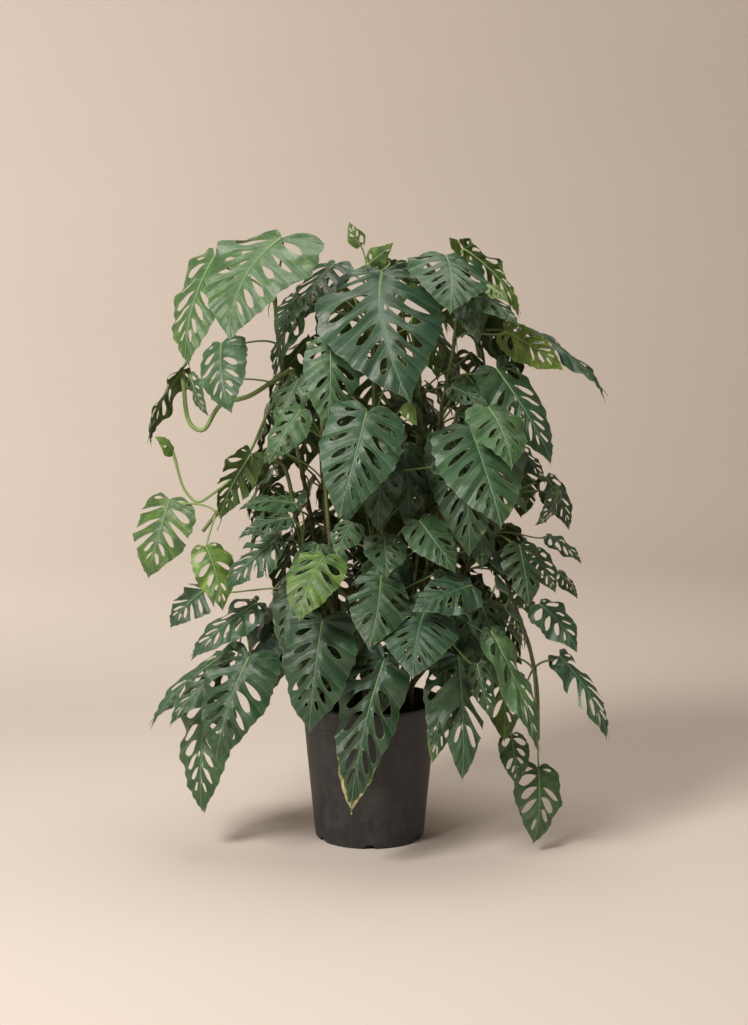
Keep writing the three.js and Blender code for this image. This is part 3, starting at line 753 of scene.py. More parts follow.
def add_node(tree, kind, settings=None, inputs=None):
    """Adds a node with its settings. An input is a value, or a socket that is linked to it."""
    node = tree.nodes.new(kind)
    for name, value in (settings or {}).items():
        setattr(node, name, value)
    for name, value in (inputs or {}).items():
        socket = node.inputs[name]
        if isinstance(value, bpy.types.NodeSocket):
            tree.links.new(value, socket)
        else:
            socket.default_value = value
    return node


def linear(colour):
    """An sRGB hex colour as linear RGBA."""
    parts = [int(colour[i:i + 2], 16) / 255 for i in (1, 3, 5)]
    return (*((p / 12.92 if p <= 0.04045 else ((p + 0.055) / 1.055) ** 2.4) for p in parts), 1)


def tint(colour):
    """A linear RGB property's default from an sRGB hex colour."""
    return linear(colour)[:3]


def colour_setting(name, description, colour):
    return bpy.props.FloatVectorProperty(
        name=name, description=description, subtype="COLOR", size=3, default=tint(colour))


def length_setting(name, description, metres):
    return bpy.props.FloatProperty(
        name=name, description=description, default=metres, unit="LENGTH", precision=4)


def output(tree, kind, inputs=None, socket=0, **settings):
    """Adds a node, and gives one of its outputs."""
    return add_node(tree, kind, settings, inputs).outputs[socket]


def opaque(colour):
    """A colour socket as it is, and any other colour as RGBA."""
    return colour if isinstance(colour, bpy.types.NodeSocket) else (*colour[:3], 1)


def sums(tree, operation, one, two=0.0, clamp=False):
    """One step of arithmetic on sockets or numbers."""
    return output(
        tree, "ShaderNodeMath", {0: one, 1: two}, operation=operation, use_clamp=clamp)


class Paint:
    """A material in the making, with short ways to add the nodes that materials share"""

    def __init__(self, name):
        self.material = bpy.data.materials.new(name)
        self.material.use_nodes = True
        self.tree = self.material.node_tree
        self.shader = self.tree.nodes["Principled BSDF"]
        self.place = output(self.tree, "ShaderNodeTexCoord", socket="Object")

    def attribute(self, name):
        return output(self.tree, "ShaderNodeAttribute", socket="Fac", attribute_name=name)

    def noise(self, scale, detail, roughness=0.5, at=None, stretch=None):
        """Noise all over the object, or at other coordinates, which may be stretched."""
        at = self.place if at is None else at
        if stretch:
            at = output(self.tree, "ShaderNodeMapping", {"Vector": at, "Scale": stretch})
        return output(self.tree, "ShaderNodeTexNoise", {
            "Vector": at, "Scale": scale, "Detail": detail, "Roughness": roughness,
        })

    def step(self, value, least, most, low=0.0, high=1.0):
        """A smooth step from low to high while the value goes from least to most."""
        return output(self.tree, "ShaderNodeMapRange", {
            "Value": value, "From Min": least, "From Max": most, "To Min": low, "To Max": high,
        }, interpolation_type="SMOOTHSTEP")

    def times(self, value, factor, clamp=False):
        return sums(self.tree, "MULTIPLY", value, factor, clamp)

    def plus(self, *values, clamp=False):
        *rest, last = values
        total = rest[0] if len(rest) == 1 else self.plus(*rest)
        return sums(self.tree, "ADD", total, last, clamp)

    def about(self, value, amount):
        """How far the value is over a half, times the amount."""
        return self.times(sums(self.tree, "SUBTRACT", value, 0.5), amount)

    def ramp(self, factor, *stops):
        """A colour ramp through (place, linear colour) stops."""
        node = add_node(self.tree, "ShaderNodeValToRGB", inputs={"Fac": factor})
        elements = node.color_ramp.elements
        while len(elements) < len(stops):
            elements.new(1)
        for element, (place, colour) in zip(elements, stops):
            element.position, element.color = place, opaque(colour)
        return node.outputs["Color"]

    def mixed(self, factor, one, two):
        return output(self.tree, "ShaderNodeMix", {
            0: factor, 6: opaque(one), 7: opaque(two),
        }, 2, data_type="RGBA")

    def finish(self, colour, rough=None, height=None, strength=1.0, distance=0.001):
        """Links the colour, the roughness and a bump of the height to the shader."""
        links = {"Base Color": colour, "Roughness": rough}
        if height is not None:
            links["Normal"] = output(self.tree, "ShaderNodeBump", {
                "Height": height, "Strength": strength, "Distance": distance,
            })
        for name, socket in links.items():
            if socket is not None:
                self.tree.links.new(socket, self.shader.inputs[name])
        return self.material


def mesh_from(name, points, faces, edges=()):
    """A mesh in metres from points in millimetres."""
    mesh = bpy.data.meshes.new(name)
    mesh.from_pydata((np.asarray(points) * MM).tolist(), edges, faces)
    return mesh


def store(mesh, name, values):
    mesh.attributes.new(name, "FLOAT", "POINT").data.foreach_set(
        "value", np.asarray(values, np.float32))


def smooth(mesh, crease_deg):
    """Smooth shading, with edges sharper than the crease left sharp."""
    mesh.polygons.foreach_set("use_smooth", [True] * len(mesh.polygons))
    mesh.set_sharp_from_angle(angle=math.radians(crease_deg))
    mesh.update()


def place(name, mesh, material, slot, *nodes):
    """Links a finished piece, which rides on the plant and stands for the named nodes."""
    mesh.materials.clear()
    mesh.materials.append(material)
    piece = bpy.data.objects.new(name, mesh)
    bpy.context.scene.collection.objects.link(piece)
    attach(piece, ROOT)
    if nodes:
        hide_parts(*nodes)
    return piece


def grown(name, mesh, tree, values):
    """The plain mesh that a geometry tree makes of a mesh, with its inputs set by name."""
    carrier = bpy.data.objects.new(name + "_carrier", mesh)
    bpy.context.scene.collection.objects.link(carrier)
    modifier = carrier.modifiers.new("Grow", "NODES")
    modifier.node_group = tree
    for item in tree.interface.items_tree:
        if item.item_type == "SOCKET" and item.in_out == "INPUT" and item.name in values:
            modifier[item.identifier] = values[item.name]
    graph = bpy.context.evaluated_depsgraph_get()
    made = bpy.data.meshes.new_from_object(carrier.evaluated_get(graph))
    carrier.modifiers.remove(modifier)
    bpy.data.objects.remove(carrier)
    made.name = name
    return made


def new_tree(name, sockets):
    """A geometry tree with a geometry input and output and the named inputs."""
    tree = bpy.data.node_groups.new(name, "GeometryNodeTree")
    for way in ("INPUT", "OUTPUT"):
        tree.interface.new_socket("Geometry", in_out=way, socket_type="NodeSocketGeometry")
    for label, kind, default in sockets:
        socket = tree.interface.new_socket(label, in_out="INPUT", socket_type=kind)
        socket.default_value = default
    return tree, add_node(tree, "NodeGroupInput").outputs


def end_tree(tree, geometry, material):
    """Ends a tree with real geometry that has its material."""
    real = output(tree, "GeometryNodeRealizeInstances", {"Geometry": geometry})
    painted = output(
        tree, "GeometryNodeSetMaterial", {"Geometry": real, "Material": material})
    add_node(tree, "NodeGroupOutput", inputs={"Geometry": painted})


# Blades

# How far in from the margin a dry edge reaches, in millimetres, where along the blade it begins
# and is full, and its stains: between which two dryness values each sets in, and its colour
DRY_EDGE = 8
DRY_ALONG = (0.55, 0.85)
DRY_STAINS = ((0.35, 0.75, "#93a04a"), (0.7, 1.0, "#c9bf92"), (1.45, 1.6, "#8a5a2c"))


class BladeSettings(bpy.types.PropertyGroup):
    """Sizes and colours of the blades"""

    thickness: length_setting("Thickness", "Thickness of a blade", 0.0008)
    spacing: length_setting("Spacing", "Distance between a blade's mesh points", 0.0036)
    quilting: bpy.props.FloatProperty(
        name="Quilting", description="Swell between side veins, in parts of the length",
        default=0.018, subtype="FACTOR")
    old_colour: colour_setting("Old blade", "Top of an old blade", "#2f4d39")
    grown_colour: colour_setting("Grown blade", "Top of a grown blade", "#385a38")
    fresh_colour: colour_setting("Fresh blade", "Top of a fresh blade", "#48693a")
    young_colour: colour_setting("Young blade", "Top of a young blade", "#6f9038")
    under_colour: colour_setting("Underside", "Underside of a grown blade", "#4a6423")
    vein_colour: colour_setting("Veins", "Midrib and side veins", "#7a9878")


# How deep or high each part of the relief is, in parts of a blade's length
GROOVE = 0.006
RIPPLE = 0.028
TWIST = 0.016
NOD = 0.05
PUCKER = 0.0035
ROLL = 0.035
KEEL = 0.022


def relief(blade, s, w, vein, quilting):
    """How far the surface stands off its smooth curve, in parts of the length: quilted
    between side veins, sunk along the midrib, rippled, twisted and puckered towards the
    margin, nodding at the tip, and more or less rolled under and folded from leaf to leaf."""
    out, phase, rows = np.abs(w), blade.phase, math.pi * vein
    spread = np.clip(out / 0.2, 0, 1) * np.clip((1 - s) / 0.15, 0, 1)
    return (
        quilting * np.sin(rows) ** 2 * spread
        - GROOVE * np.exp(-(out * blade.half / 0.018) ** 2)
        + RIPPLE * out ** 2 * np.sin(5.3 * math.pi * s + 2 * phase + 1.3 * np.sign(w))
        + TWIST * spread * out * np.sin(rows + phase)
        - NOD * (np.clip(s - 0.7, 0, 1) / 0.3) ** 2
        + PUCKER * spread * np.sin(15 * out + rows + phase) * np.sin(23 * s)
        - ROLL * abs(math.sin(3.7 * phase)) * out ** 2
        - KEEL * abs(math.sin(2.3 * phase)) * out
    )


def dryness(blade, s, w):
    """How dry the blade is at each point: most at the margin of its tip half."""
    along, out = zip(*((0, 0), *blade.form.margin, (1, 0)))
    inward = (np.interp(s, along, out) - np.abs(w)) * blade.half * blade.length
    near = np.clip(1 - inward / DRY_EDGE, 0, 1)
    return blade.leaf.dry * near * np.interp(s, DRY_ALONG, (0, 1))


def blade_mesh(name, blades, settings):
    """All blades of a stem as thin closed bodies in one mesh."""
    points, faces, uvs = [], [], []
    looks = {"Side": [], "Fresh": [], "Margin": [], "Dry": [], "Chance": []}
    start = 0
    for blade in blades:
        spacing = settings.spacing / MM / blade.leaf.fineness
        flat, triangles = flat_blade(blade, spacing)
        s, w = flat.T
        vein = blade.vein_at(s, w)
        height = relief(blade, s, w, vein, settings.quilting) * blade.length
        normal = blade.normals(s, w)
        middle = blade.surface(s, w) + normal * height[:, None]
        half = normal * settings.thickness / MM / 2
        count = len(s)
        points.append(np.vstack([middle + half, middle - half]))
        rim = rim_edges(triangles)
        sides = np.column_stack([
            rim[:, 0] + count, rim[:, 1] + count, rim[:, 1], rim[:, 0],
        ])
        a, b, c = (middle[triangles[:, i]] for i in range(3))
        outward = np.einsum("ij,ij->i", np.cross(b - a, c - a), normal[triangles[:, 0]])
        if outward.sum() < 0:
            triangles, sides = triangles[:, ::-1], sides[:, ::-1]
        faces += (triangles + start).tolist()
        faces += (triangles[:, ::-1] + count + start).tolist()
        faces += (sides + start).tolist()
        margin = np.zeros(count)
        margin[rim.ravel()] = 1
        uvs.append(np.tile(np.column_stack([vein, np.abs(w)]), (2, 1)))
        values = (blade.leaf.fresh, margin, dryness(blade, s, w), blade.chance.random())
        for key, value in zip(("Fresh", "Margin", "Dry", "Chance"), values):
            looks[key].append(np.tile(np.broadcast_to(value, count), 2))
        looks["Side"].append(np.repeat([1.0, 0.0], count))
        start += 2 * count
    mesh = mesh_from(name, np.vstack(points), faces)
    for key, values in looks.items():
        store(mesh, key, np.concatenate(values))
    corners = np.zeros(len(mesh.loops), np.int32)
    mesh.loops.foreach_get("vertex_index", corners)
    layer = mesh.uv_layers.new(name="Veins")
    layer.data.foreach_set("uv", np.vstack(uvs)[corners].astype(np.float32).ravel())
    smooth(mesh, 50)
    return mesh


def blade_material(settings):
    """Living leaf with a waxy cuticle: a soft satin shine on the bluish top, a matte and
    yellower underside, pale veins, and fine streaks that run along them, which are partly the
    blade's own colour and partly painted shade that darkens the grooves the bump sinks."""
    paint = Paint("Waxy leaf")
    fresh, side, margin, dry, luck = (
        paint.attribute(name) for name in ("Fresh", "Side", "Margin", "Dry", "Chance"))
    veins = output(paint.tree, "ShaderNodeUVMap", socket="UV", uv_map="Veins")
    split = add_node(paint.tree, "ShaderNodeSeparateXYZ", inputs={0: veins}).outputs
    vein = paint.step(sums(paint.tree, "PINGPONG", split["X"], 0.5), 0.0, 0.1, 1.0, 0.0)
    midrib = paint.step(split["Y"], 0.0, 0.05, 1.0, 0.0)
    # Streaks along the side veins: partly the blade's own colour and partly painted shade, as the
    # same noise also raises the bump
    streak = paint.noise(1.5, 4.0, 0.6, veins, (7.0, 1.6, 1.0))
    # Mottling about 25 mm across, and speckles of 2 mm
    mottle, speckle = paint.noise(40.0, 4.0, 0.65), paint.noise(500.0, 1.0)
    tone = paint.plus(fresh, paint.about(mottle, 0.9), paint.about(streak, 0.5), clamp=True)
    top = paint.ramp(
        tone, (0.05, settings.old_colour), (0.4, settings.grown_colour),
        (0.72, settings.fresh_colour), (1.0, settings.young_colour),
    )
    share = sums(paint.tree, "MAXIMUM", paint.times(vein, 0.16), paint.times(midrib, 0.4))
    top = paint.mixed(share, top, settings.vein_colour)
    under = paint.ramp(
        tone, (0.0, tint("#40562a")), (0.5, settings.under_colour), (1.0, tint("#8ea63f")))
    colour = paint.mixed(side, paint.mixed(share, under, tint("#8fa75a")), top)
    pale = paint.times(sums(paint.tree, "POWER", margin, 4.0), 0.3)
    colour = paint.mixed(pale, colour, tint("#a3b184"))
    faded = paint.plus(dry, paint.about(mottle, 3.6))
    for least, most, stain in DRY_STAINS:
        share = paint.times(paint.step(faded, least, most), paint.times(dry, 3.0, clamp=True))
        colour = paint.mixed(share, colour, tint(stain))
    # Brightness from a random share for each blade, speckles and the streaks. The streaks are
    # partly the blade's own colour and partly painted shade: they lighten the ridges and darken
    # the grooves that the same noise raises and sinks in the bump below
    value_with_painted_groove_shade = paint.plus(
        0.82, paint.times(luck, 0.3), paint.about(speckle, 0.35), paint.about(streak, 1.3))
    colour = output(paint.tree, "ShaderNodeHueSaturation", {"Value": value_with_painted_groove_shade, "Color": colour})
    rough = sums(paint.tree, "SUBTRACT", 0.6, paint.times(side, 0.24))
    rough = paint.plus(rough, paint.about(streak, 0.25))
    # Fine ridges that run along the side veins, about 3 mm apart, and puckers 7 mm across
    ridge = paint.noise(1.0, 2.0, 0.5, veins, (26.0, 1.2, 1.0))
    pucker = paint.noise(140.0, 3.0, 0.6)
    height = paint.plus(
        paint.times(streak, 0.9), paint.times(vein, -0.5), paint.times(pucker, 0.8),
        paint.times(ridge, 0.6), paint.times(speckle, 0.12),
    )
    # The wax: a thin, dull coat that greys the blade where light grazes it
    paint.shader.inputs["IOR"].default_value = 1.45
    paint.shader.inputs["Coat Weight"].default_value = 0.3
    paint.shader.inputs["Coat Roughness"].default_value = 0.42
    return paint.finish(colour, rough, height, 0.7, 0.0016)


class VINE_OT_blades(bpy.types.Operator):
    """Makes the holed blades of every stem"""

    bl_idname = "vine.blades"
    bl_label = "Make blades"

    def execute(self, context):
        settings = context.scene.vine_blades
        material = blade_material(settings)
        for stem_name, blades in blades_by_stem().items():
            name = stem_name.replace("stem", "blades")
            mesh = blade_mesh(name, blades, settings)
            place(name, mesh, material, "leaf", stem_name)
        return {"FINISHED"}


# Stems, petioles, midribs and aerial roots

class StalkSettings(bpy.types.PropertyGroup):
    """Sizes and colours of the stalks"""

    sides: bpy.props.IntProperty(
        name="Sides", description="Sides of a stalk", default=9, min=5)
    roughness: length_setting("Knobbliness", "How far the surface wanders", 0.0007)
    young_colour: colour_setting("Young stalk", "Petioles and midribs", "#859d5e")
    old_colour: colour_setting("Old stem", "Old stems and roots", "#4d3f2e")
    rib_colour: colour_setting("Midrib", "Midribs of grown blades", "#4f6f5a")


# A petiole's radius: the least, what a long blade adds to it and from which length, the share
# of it that a young blade's has, and the share that it loses along its length
PETIOLE_THIN = 1.25
PETIOLE_MORE = 0.9
LONG_BLADE = 190
YOUNG_SHARE = 0.6
PETIOLE_THINS = 0.15

# A midrib: where it runs on the blade, how far its middle lies below the surface in parts of
# the blade's length, its radius at the tip, and the most and the share it takes of its petiole's
RIB_ALONG = (0.02, 0.97)
RIB_DEPTH = 0.006
RIB_TIP = 0.3
RIB_MOST = 2.2
RIB_SHARE = 0.85

# Aerial roots: their number at a node, their reach, their radius at both ends and their age
ROOT_NUMBERS = (0, 1, 1, 2)
ROOT_REACH = (14, 34)
ROOT_RADIUS = (1.1, 0.5)
ROOT_AGE = 0.9

# A stem: its radius at the top in parts of its foot's, its ages at the foot and at the top, and
# how much thicker and how much older it is at a node, each with how far that reaches
STEM_TOP = 0.7
STEM_AGES = (0.95, 0.4)
NODE_SWELL = (1.1, 6)
NODE_AGE = (0.2, 4)


@dataclass
class Line:
    """A stalk's middle line, its radius, its age from 0, green, to 1, brown, and how far it
    has taken on the colour of its blade."""

    points: np.ndarray
    radius: np.ndarray
    age: np.ndarray
    blend: np.ndarray


def stem_line(stem):
    points = [(*stem.foot, height) for height in STEM_HEIGHTS] + list(stem.route)
    return spline(points, 40)


def stem_nodes(line):
    """Where leaves grow from the stem, as in the frame."""
    rings = spaced(line, round(measured(line)[-1] / STEM_STEP))
    middles = (rings[1:] + rings[:-1]) / 2
    return middles[middles[:, 2] > LOWEST_NODE]


def petiole_points(blade, nodes):
    """From the stem to the blade's base, as in the frame."""
    base, chord, way = blade.base, blade.chord, blade.leaf.way
    level = np.array([chord[0], chord[1], 0])
    wanted = base - PETIOLE_INSIDE * level - (0, 0, PETIOLE_BELOW)
    if way:
        wanted = np.array(way[0])
    start = nodes[np.linalg.norm(nodes - wanted, axis=1).argmin()]
    if way:
        return spaced(spline([start, *way, base], 16), 48)
    reach = np.linalg.norm(base - start)
    rise = (base - start) * PETIOLE_BEND["out"] + (0, 0, PETIOLE_BEND["rise"] * reach)
    arrive = (level * PETIOLE_BEND["over"] + (0, 0, PETIOLE_BEND["fall"])) * reach
    t = np.linspace(0, 1, 22)[:, None]
    one, two = start + rise, base - arrive
    return ((1 - t) ** 3 * start + 3 * (1 - t) ** 2 * t * one + 3 * (1 - t) * t ** 2 * two
            + t ** 3 * base)


def leaf_line(blade, nodes):
    """A petiole that swells at both ends and runs on as the blade's midrib."""
    petiole = petiole_points(blade, nodes)
    along = measured(petiole) / measured(petiole)[-1]
    thick = PETIOLE_THIN + PETIOLE_MORE * min(1, blade.length / LONG_BLADE)
    if blade.leaf.way:
        thick = THICK_PETIOLE * (YOUNG_SHARE if blade.leaf.form == "young" else 1)
    swell = 1 + 0.55 * np.exp(-along / 0.05) + 0.25 * np.exp(-((along - 0.95) / 0.035) ** 2)
    s = np.linspace(*RIB_ALONG, 26)
    rib = blade.surface(s, s * 0) - blade.normals(s, s * 0) * RIB_DEPTH * blade.length
    ribs = min(thick, RIB_MOST) * RIB_SHARE * (1 - s) ** 0.8 + RIB_TIP
    age = 0.35 * (1 - along) * (1 - blade.leaf.fresh)
    blend = np.clip(0.25 + s / 0.45, 0, 1) * (1 - 0.8 * blade.leaf.fresh)
    return Line(
        np.vstack([petiole, rib]),
        np.concatenate([thick * swell * (1 - PETIOLE_THINS * along), ribs]),
        np.concatenate([age, np.zeros(len(s))]),
        np.concatenate([np.zeros(len(along)), blend]),
    )


def root_lines(nodes, chance):
    """Thin aerial roots that curl down from the stem's nodes."""
    made = []
    for node in nodes:
        for _ in range(chance.choice(ROOT_NUMBERS)):
            turn, reach = chance.uniform(0, 2 * math.pi), chance.uniform(*ROOT_REACH)
            away = np.array([math.cos(turn), math.sin(turn), 0])
            side = np.array([-math.sin(turn), math.cos(turn), 0]) * chance.uniform(-0.5, 0.5)
            points = spline([
                node, node + away * 0.35 * reach, node + (away * 0.6 + side * 0.3) * reach
                - (0, 0, 0.4 * reach), node + (away * 0.5 + side) * reach - (0, 0, reach),
            ], 5)
            radius = np.linspace(*ROOT_RADIUS, len(points))
            made.append(Line(points, radius, 0 * radius + ROOT_AGE, 0 * radius))
    return made


def stalk_tree(material):
    """Tubes along every edge line, as thick as its points say, with a knobbly surface."""
    tree, given = new_tree("Stalk tubes", [
        ("Sides", "NodeSocketInt", 8), ("Knobbliness", "NodeSocketFloat", 0.0005),
        ("Grain", "NodeSocketFloat", 120.0),
    ])
    curve = output(tree, "GeometryNodeMeshToCurve", {"Mesh": given["Geometry"]})
    radius = output(
        tree, "GeometryNodeInputNamedAttribute", {"Name": "Radius"}, "Attribute",
        data_type="FLOAT")
    ring = output(
        tree, "GeometryNodeCurvePrimitiveCircle", {"Resolution": given["Sides"], "Radius": 1.0})
    tube = output(tree, "GeometryNodeCurveToMesh", {
        "Curve": curve, "Profile Curve": ring, "Scale": radius, "Fill Caps": True,
    })
    grain = output(tree, "ShaderNodeTexNoise", {"Scale": given["Grain"], "Detail": 2.0})
    depth = sums(tree, "MULTIPLY", sums(tree, "SUBTRACT", grain, 0.5), given["Knobbliness"])
    normal = output(tree, "GeometryNodeInputNormal")
    offset = output(
        tree, "ShaderNodeVectorMath", {0: normal, "Scale": depth}, operation="SCALE")
    moved = output(tree, "GeometryNodeSetPosition", {"Geometry": tube, "Offset": offset})
    soft = output(tree, "GeometryNodeSetShadeSmooth", {"Geometry": moved})
    end_tree(tree, soft, material)
    return tree


def line_mesh(name, lines):
    """Stalk lines as a mesh of edges, with a radius, an age and a blend at each point."""
    edges, start = [], 0
    for line in lines:
        edges += [(start + i, start + i + 1) for i in range(len(line.points) - 1)]
        start += len(line.points)
    mesh = mesh_from(name, np.vstack([line.points for line in lines]), [], edges)
    for key, scale in (("Radius", MM), ("Age", 1), ("Blend", 1)):
        values = np.concatenate([getattr(line, key.lower()) for line in lines])
        store(mesh, key, values * scale)
    return mesh


def stalk_material(settings):
    """Green stalk that turns to corky brown stem: smooth and a little shiny when young,
    dull and flecked when old."""
    paint = Paint("Stalk and bark")
    age, blend = paint.attribute("Age"), paint.attribute("Blend")
    # Flecks about 6 mm long
    fleck = paint.noise(160.0, 4.0, 0.7)
    tone = paint.plus(age, paint.about(fleck, 0.6), clamp=True)
    colour = paint.ramp(
        tone, (0.0, settings.young_colour), (0.45, tint("#66743f")),
        (0.8, settings.old_colour), (1.0, tint("#2f2720")),
    )
    colour = paint.mixed(blend, colour, settings.rib_colour)
    rough = paint.plus(0.42, paint.times(age, 0.35))
    return paint.finish(colour, rough, fleck, 0.5, 0.0006)


class VINE_OT_stalks(bpy.types.Operator):
    """Makes the stems with their petioles, midribs and aerial roots"""

    bl_idname = "vine.stalks"
    bl_label = "Make stalks"

    def execute(self, context):
        settings = context.scene.vine_stalks
        material = stalk_material(settings)
        tree = stalk_tree(material)
        chance = random.Random(SEED)
        blades = blades_by_stem()
        for stem in STEMS:
            name = stem.name.replace("stem", "stalks")
            line = stem_line(stem)
            nodes = stem_nodes(line)
            along = measured(line) / measured(line)[-1]
            gaps = np.linalg.norm(line[:, None] - nodes[None], axis=2).min(axis=1)
            (swell, reach), (older, spread) = NODE_SWELL, NODE_AGE
            radius = STEM_RADIUS * np.interp(along, (0, 1), (1, STEM_TOP))
            radius += swell * np.exp(-(gaps / reach) ** 2)
            age = np.interp(along, (0, 1), STEM_AGES) + older * np.exp(-(gaps / spread) ** 2)
            lines = [Line(line, radius, age, 0 * age)]
            lines += [leaf_line(blade, nodes) for blade in blades[stem.name]]
            lines += root_lines(nodes, chance)
            mesh = grown(name, line_mesh(name, lines), tree, {
                "Sides": settings.sides, "Knobbliness": settings.roughness,
            })
            place(name, mesh, material, "leaf", stem.name)
        return {"FINISHED"}


# Pot and soil

# The pot's wall as radius and height: from the middle of its raised underside, round the
# foot, up the outside, over the rim and down the inside to the middle of its floor
POT_WALL = (
    (0, 7), (84, 7), (88, 5.6), (89.6, 1.2), (91, 0), (94.5, 0.3), (97, 2.6), (98.2, 8),
    (99.4, 22), (103, 60), (107.5, 108), (112, 156), (116.4, 205), (117.2, 211.2), (121, 212.6),
    (122.2, 215), (122.9, 232.4), (124, 235.4), (128, 237.4), (129, 239.6), (129, 245.6),
    (128.3, 247.6), (127.2, 248), (126.4, 246), (126.2, 240.8), (121.6, 236), (120.6, 214),
    (115.4, 211), (114.2, 203), (97.6, 16), (90, 9.2), (0, 9),
)
POT_HEIGHT = 248
NOTCHES = 6
NOTCH_HALF_DEG = 5.5
NOTCH_HEIGHT = 7
NOTCH_TOP = 9
FLOOR_RADIUS = 84

# How far the wall stands in, and its dents at the rim as depth, number round and turn
WALL_INSET = 0.4
DENTS = ((0.5, 2, 1), (0.35, 5, 0))

# The soil, and the lumps of its top as width, layer of noise and height
SOIL_RADIUS = 113.4
SOIL_FOOT = 11
SOIL_FOOT_RADIUS = 88
SOIL_LUMPS = ((34, 1, 2.6), (9, 5, 1.3))

# How far the soil's middle lies below its full height, how much more its edge does, and how
# deep its lumps go
SOIL_LOW = 1
SOIL_BULGE = 2.5
LUMPS_DEPTH = 12

# What is strewn on it: one grain of perlite to so many crumbs, and their sizes in metres
PERLITE_RARITY = 12
CRUMB_SIZES = (0.0009, 0.0036)
PERLITE_SIZES = (0.0009, 0.0026)


def lathe(name, profile, sides, shape):
    """A closed turned body whose profile begins and ends on the axis. shape moves points."""
    turns = np.linspace(0, 2 * math.pi, sides, endpoint=False)
    radii, heights = np.array(profile[1:-1], float).T
    turn, radius = np.meshgrid(turns, radii, indexing="ij")
    height = np.broadcast_to(heights, radius.shape)
    radius, height = shape(turn, radius, height)
    rings = np.stack([radius * np.cos(turn), radius * np.sin(turn), height], axis=-1)
    count = rings.shape[1]
    points = np.vstack([rings.reshape(-1, 3), [(0, 0, profile[0][1]), (0, 0, profile[-1][1])]])
    first, last = len(points) - 2, len(points) - 1
    faces = []
    for i in range(sides):
        here, there = i * count, (i + 1) % sides * count
        faces.append((first, there, here))
        faces.append((last, here + count - 1, there + count - 1))
        faces += [(here + j, there + j, there + j + 1, here + j + 1) for j in range(count - 1)]
    return mesh_from(name, points, faces)


def pot_shape(turn, radius, height):
    """A soft pot, not quite round, with arched notches in its foot."""
    step = 2 * math.pi / NOTCHES
    off = np.degrees(np.abs((turn % step) - step / 2)) / NOTCH_HALF_DEG
    arch = NOTCH_HEIGHT * np.sqrt(np.clip(1 - off ** 4, 0, 1))
    foot = (radius > FLOOR_RADIUS) & (height < NOTCH_TOP)
    height = np.where(foot, np.maximum(height, arch), height)
    dent = sum(deep * np.sin(number * turn + start) for deep, number, start in DENTS)
    wall = radius - WALL_INSET + dent * height / POT_HEIGHT
    return np.where(radius > FLOOR_RADIUS, wall, radius), height


class PotSettings(bpy.types.PropertyGroup):
    """Sizes and colours of the pot and its soil"""

    sides: bpy.props.IntProperty(
        name="Sides", description="Steps round the pot", default=288, min=24)
    plastic_colour: colour_setting("Plastic", "The pot's plastic", "#242424")
    dust_colour: colour_setting("Dust", "Dust and dried water on the pot", "#686461")
    soil_colour: colour_setting("Soil", "Moist potting soil", "#33261c")
    crumb_density: bpy.props.FloatProperty(
        name="Crumb density", description="Crumbs to a square metre", default=26000.0)


def pot_material(settings):
    """Black polypropylene, injection moulded, after some seasons: dull and warm grey, with a
    film of dust, rubbed patches and streaks where water ran down."""
    paint = Paint("Moulded polypropylene")
    streak = paint.noise(1.0, 5.0, 0.6, stretch=(70.0, 70.0, 5.0))
    # Patches about 60 mm across with rubbed, broken edges, and grit of 1 mm
    patch, grit = paint.noise(16.0, 9.0, 0.72), paint.noise(900.0, 2.0)
    film, lines = paint.step(patch, 0.42, 0.7), paint.step(streak, 0.5, 0.75)
    dust = paint.plus(paint.times(film, 0.34), paint.times(lines, 0.17))
    dust = paint.times(dust, paint.plus(grit, 0.45), clamp=True)
    colour = paint.mixed(dust, settings.plastic_colour, settings.dust_colour)
    rough = paint.plus(0.48, paint.times(dust, 0.7), clamp=True)
    height = paint.plus(paint.times(patch, 0.6), paint.times(grit, 0.2))
    return paint.finish(colour, rough, height, 0.35, 0.001)


def soil_material(settings):
    """Peat and composted bark: dark, damp and matte, with lighter dry fibres."""
    paint = Paint("Peat and bark mix")
    grain = paint.noise(260.0, 6.0, 0.75)
    colour = paint.ramp(
        grain, (0.3, tint("#1b130e")), (0.52, settings.soil_colour), (0.75, tint("#6b5540")))
    paint.shader.inputs["Roughness"].default_value = 0.92
    return paint.finish(colour, None, grain, 0.9, 0.002)


def perlite_material():
    """Expanded perlite: white, chalky and full of tiny pores."""
    paint = Paint("Perlite")
    pores = paint.noise(900.0, 3.0)
    paint.shader.inputs["Roughness"].default_value = 0.85
    return paint.finish(paint.ramp(pores, (0.35, tint("#9a9184")), (0.6, tint("#dcd6ca"))))


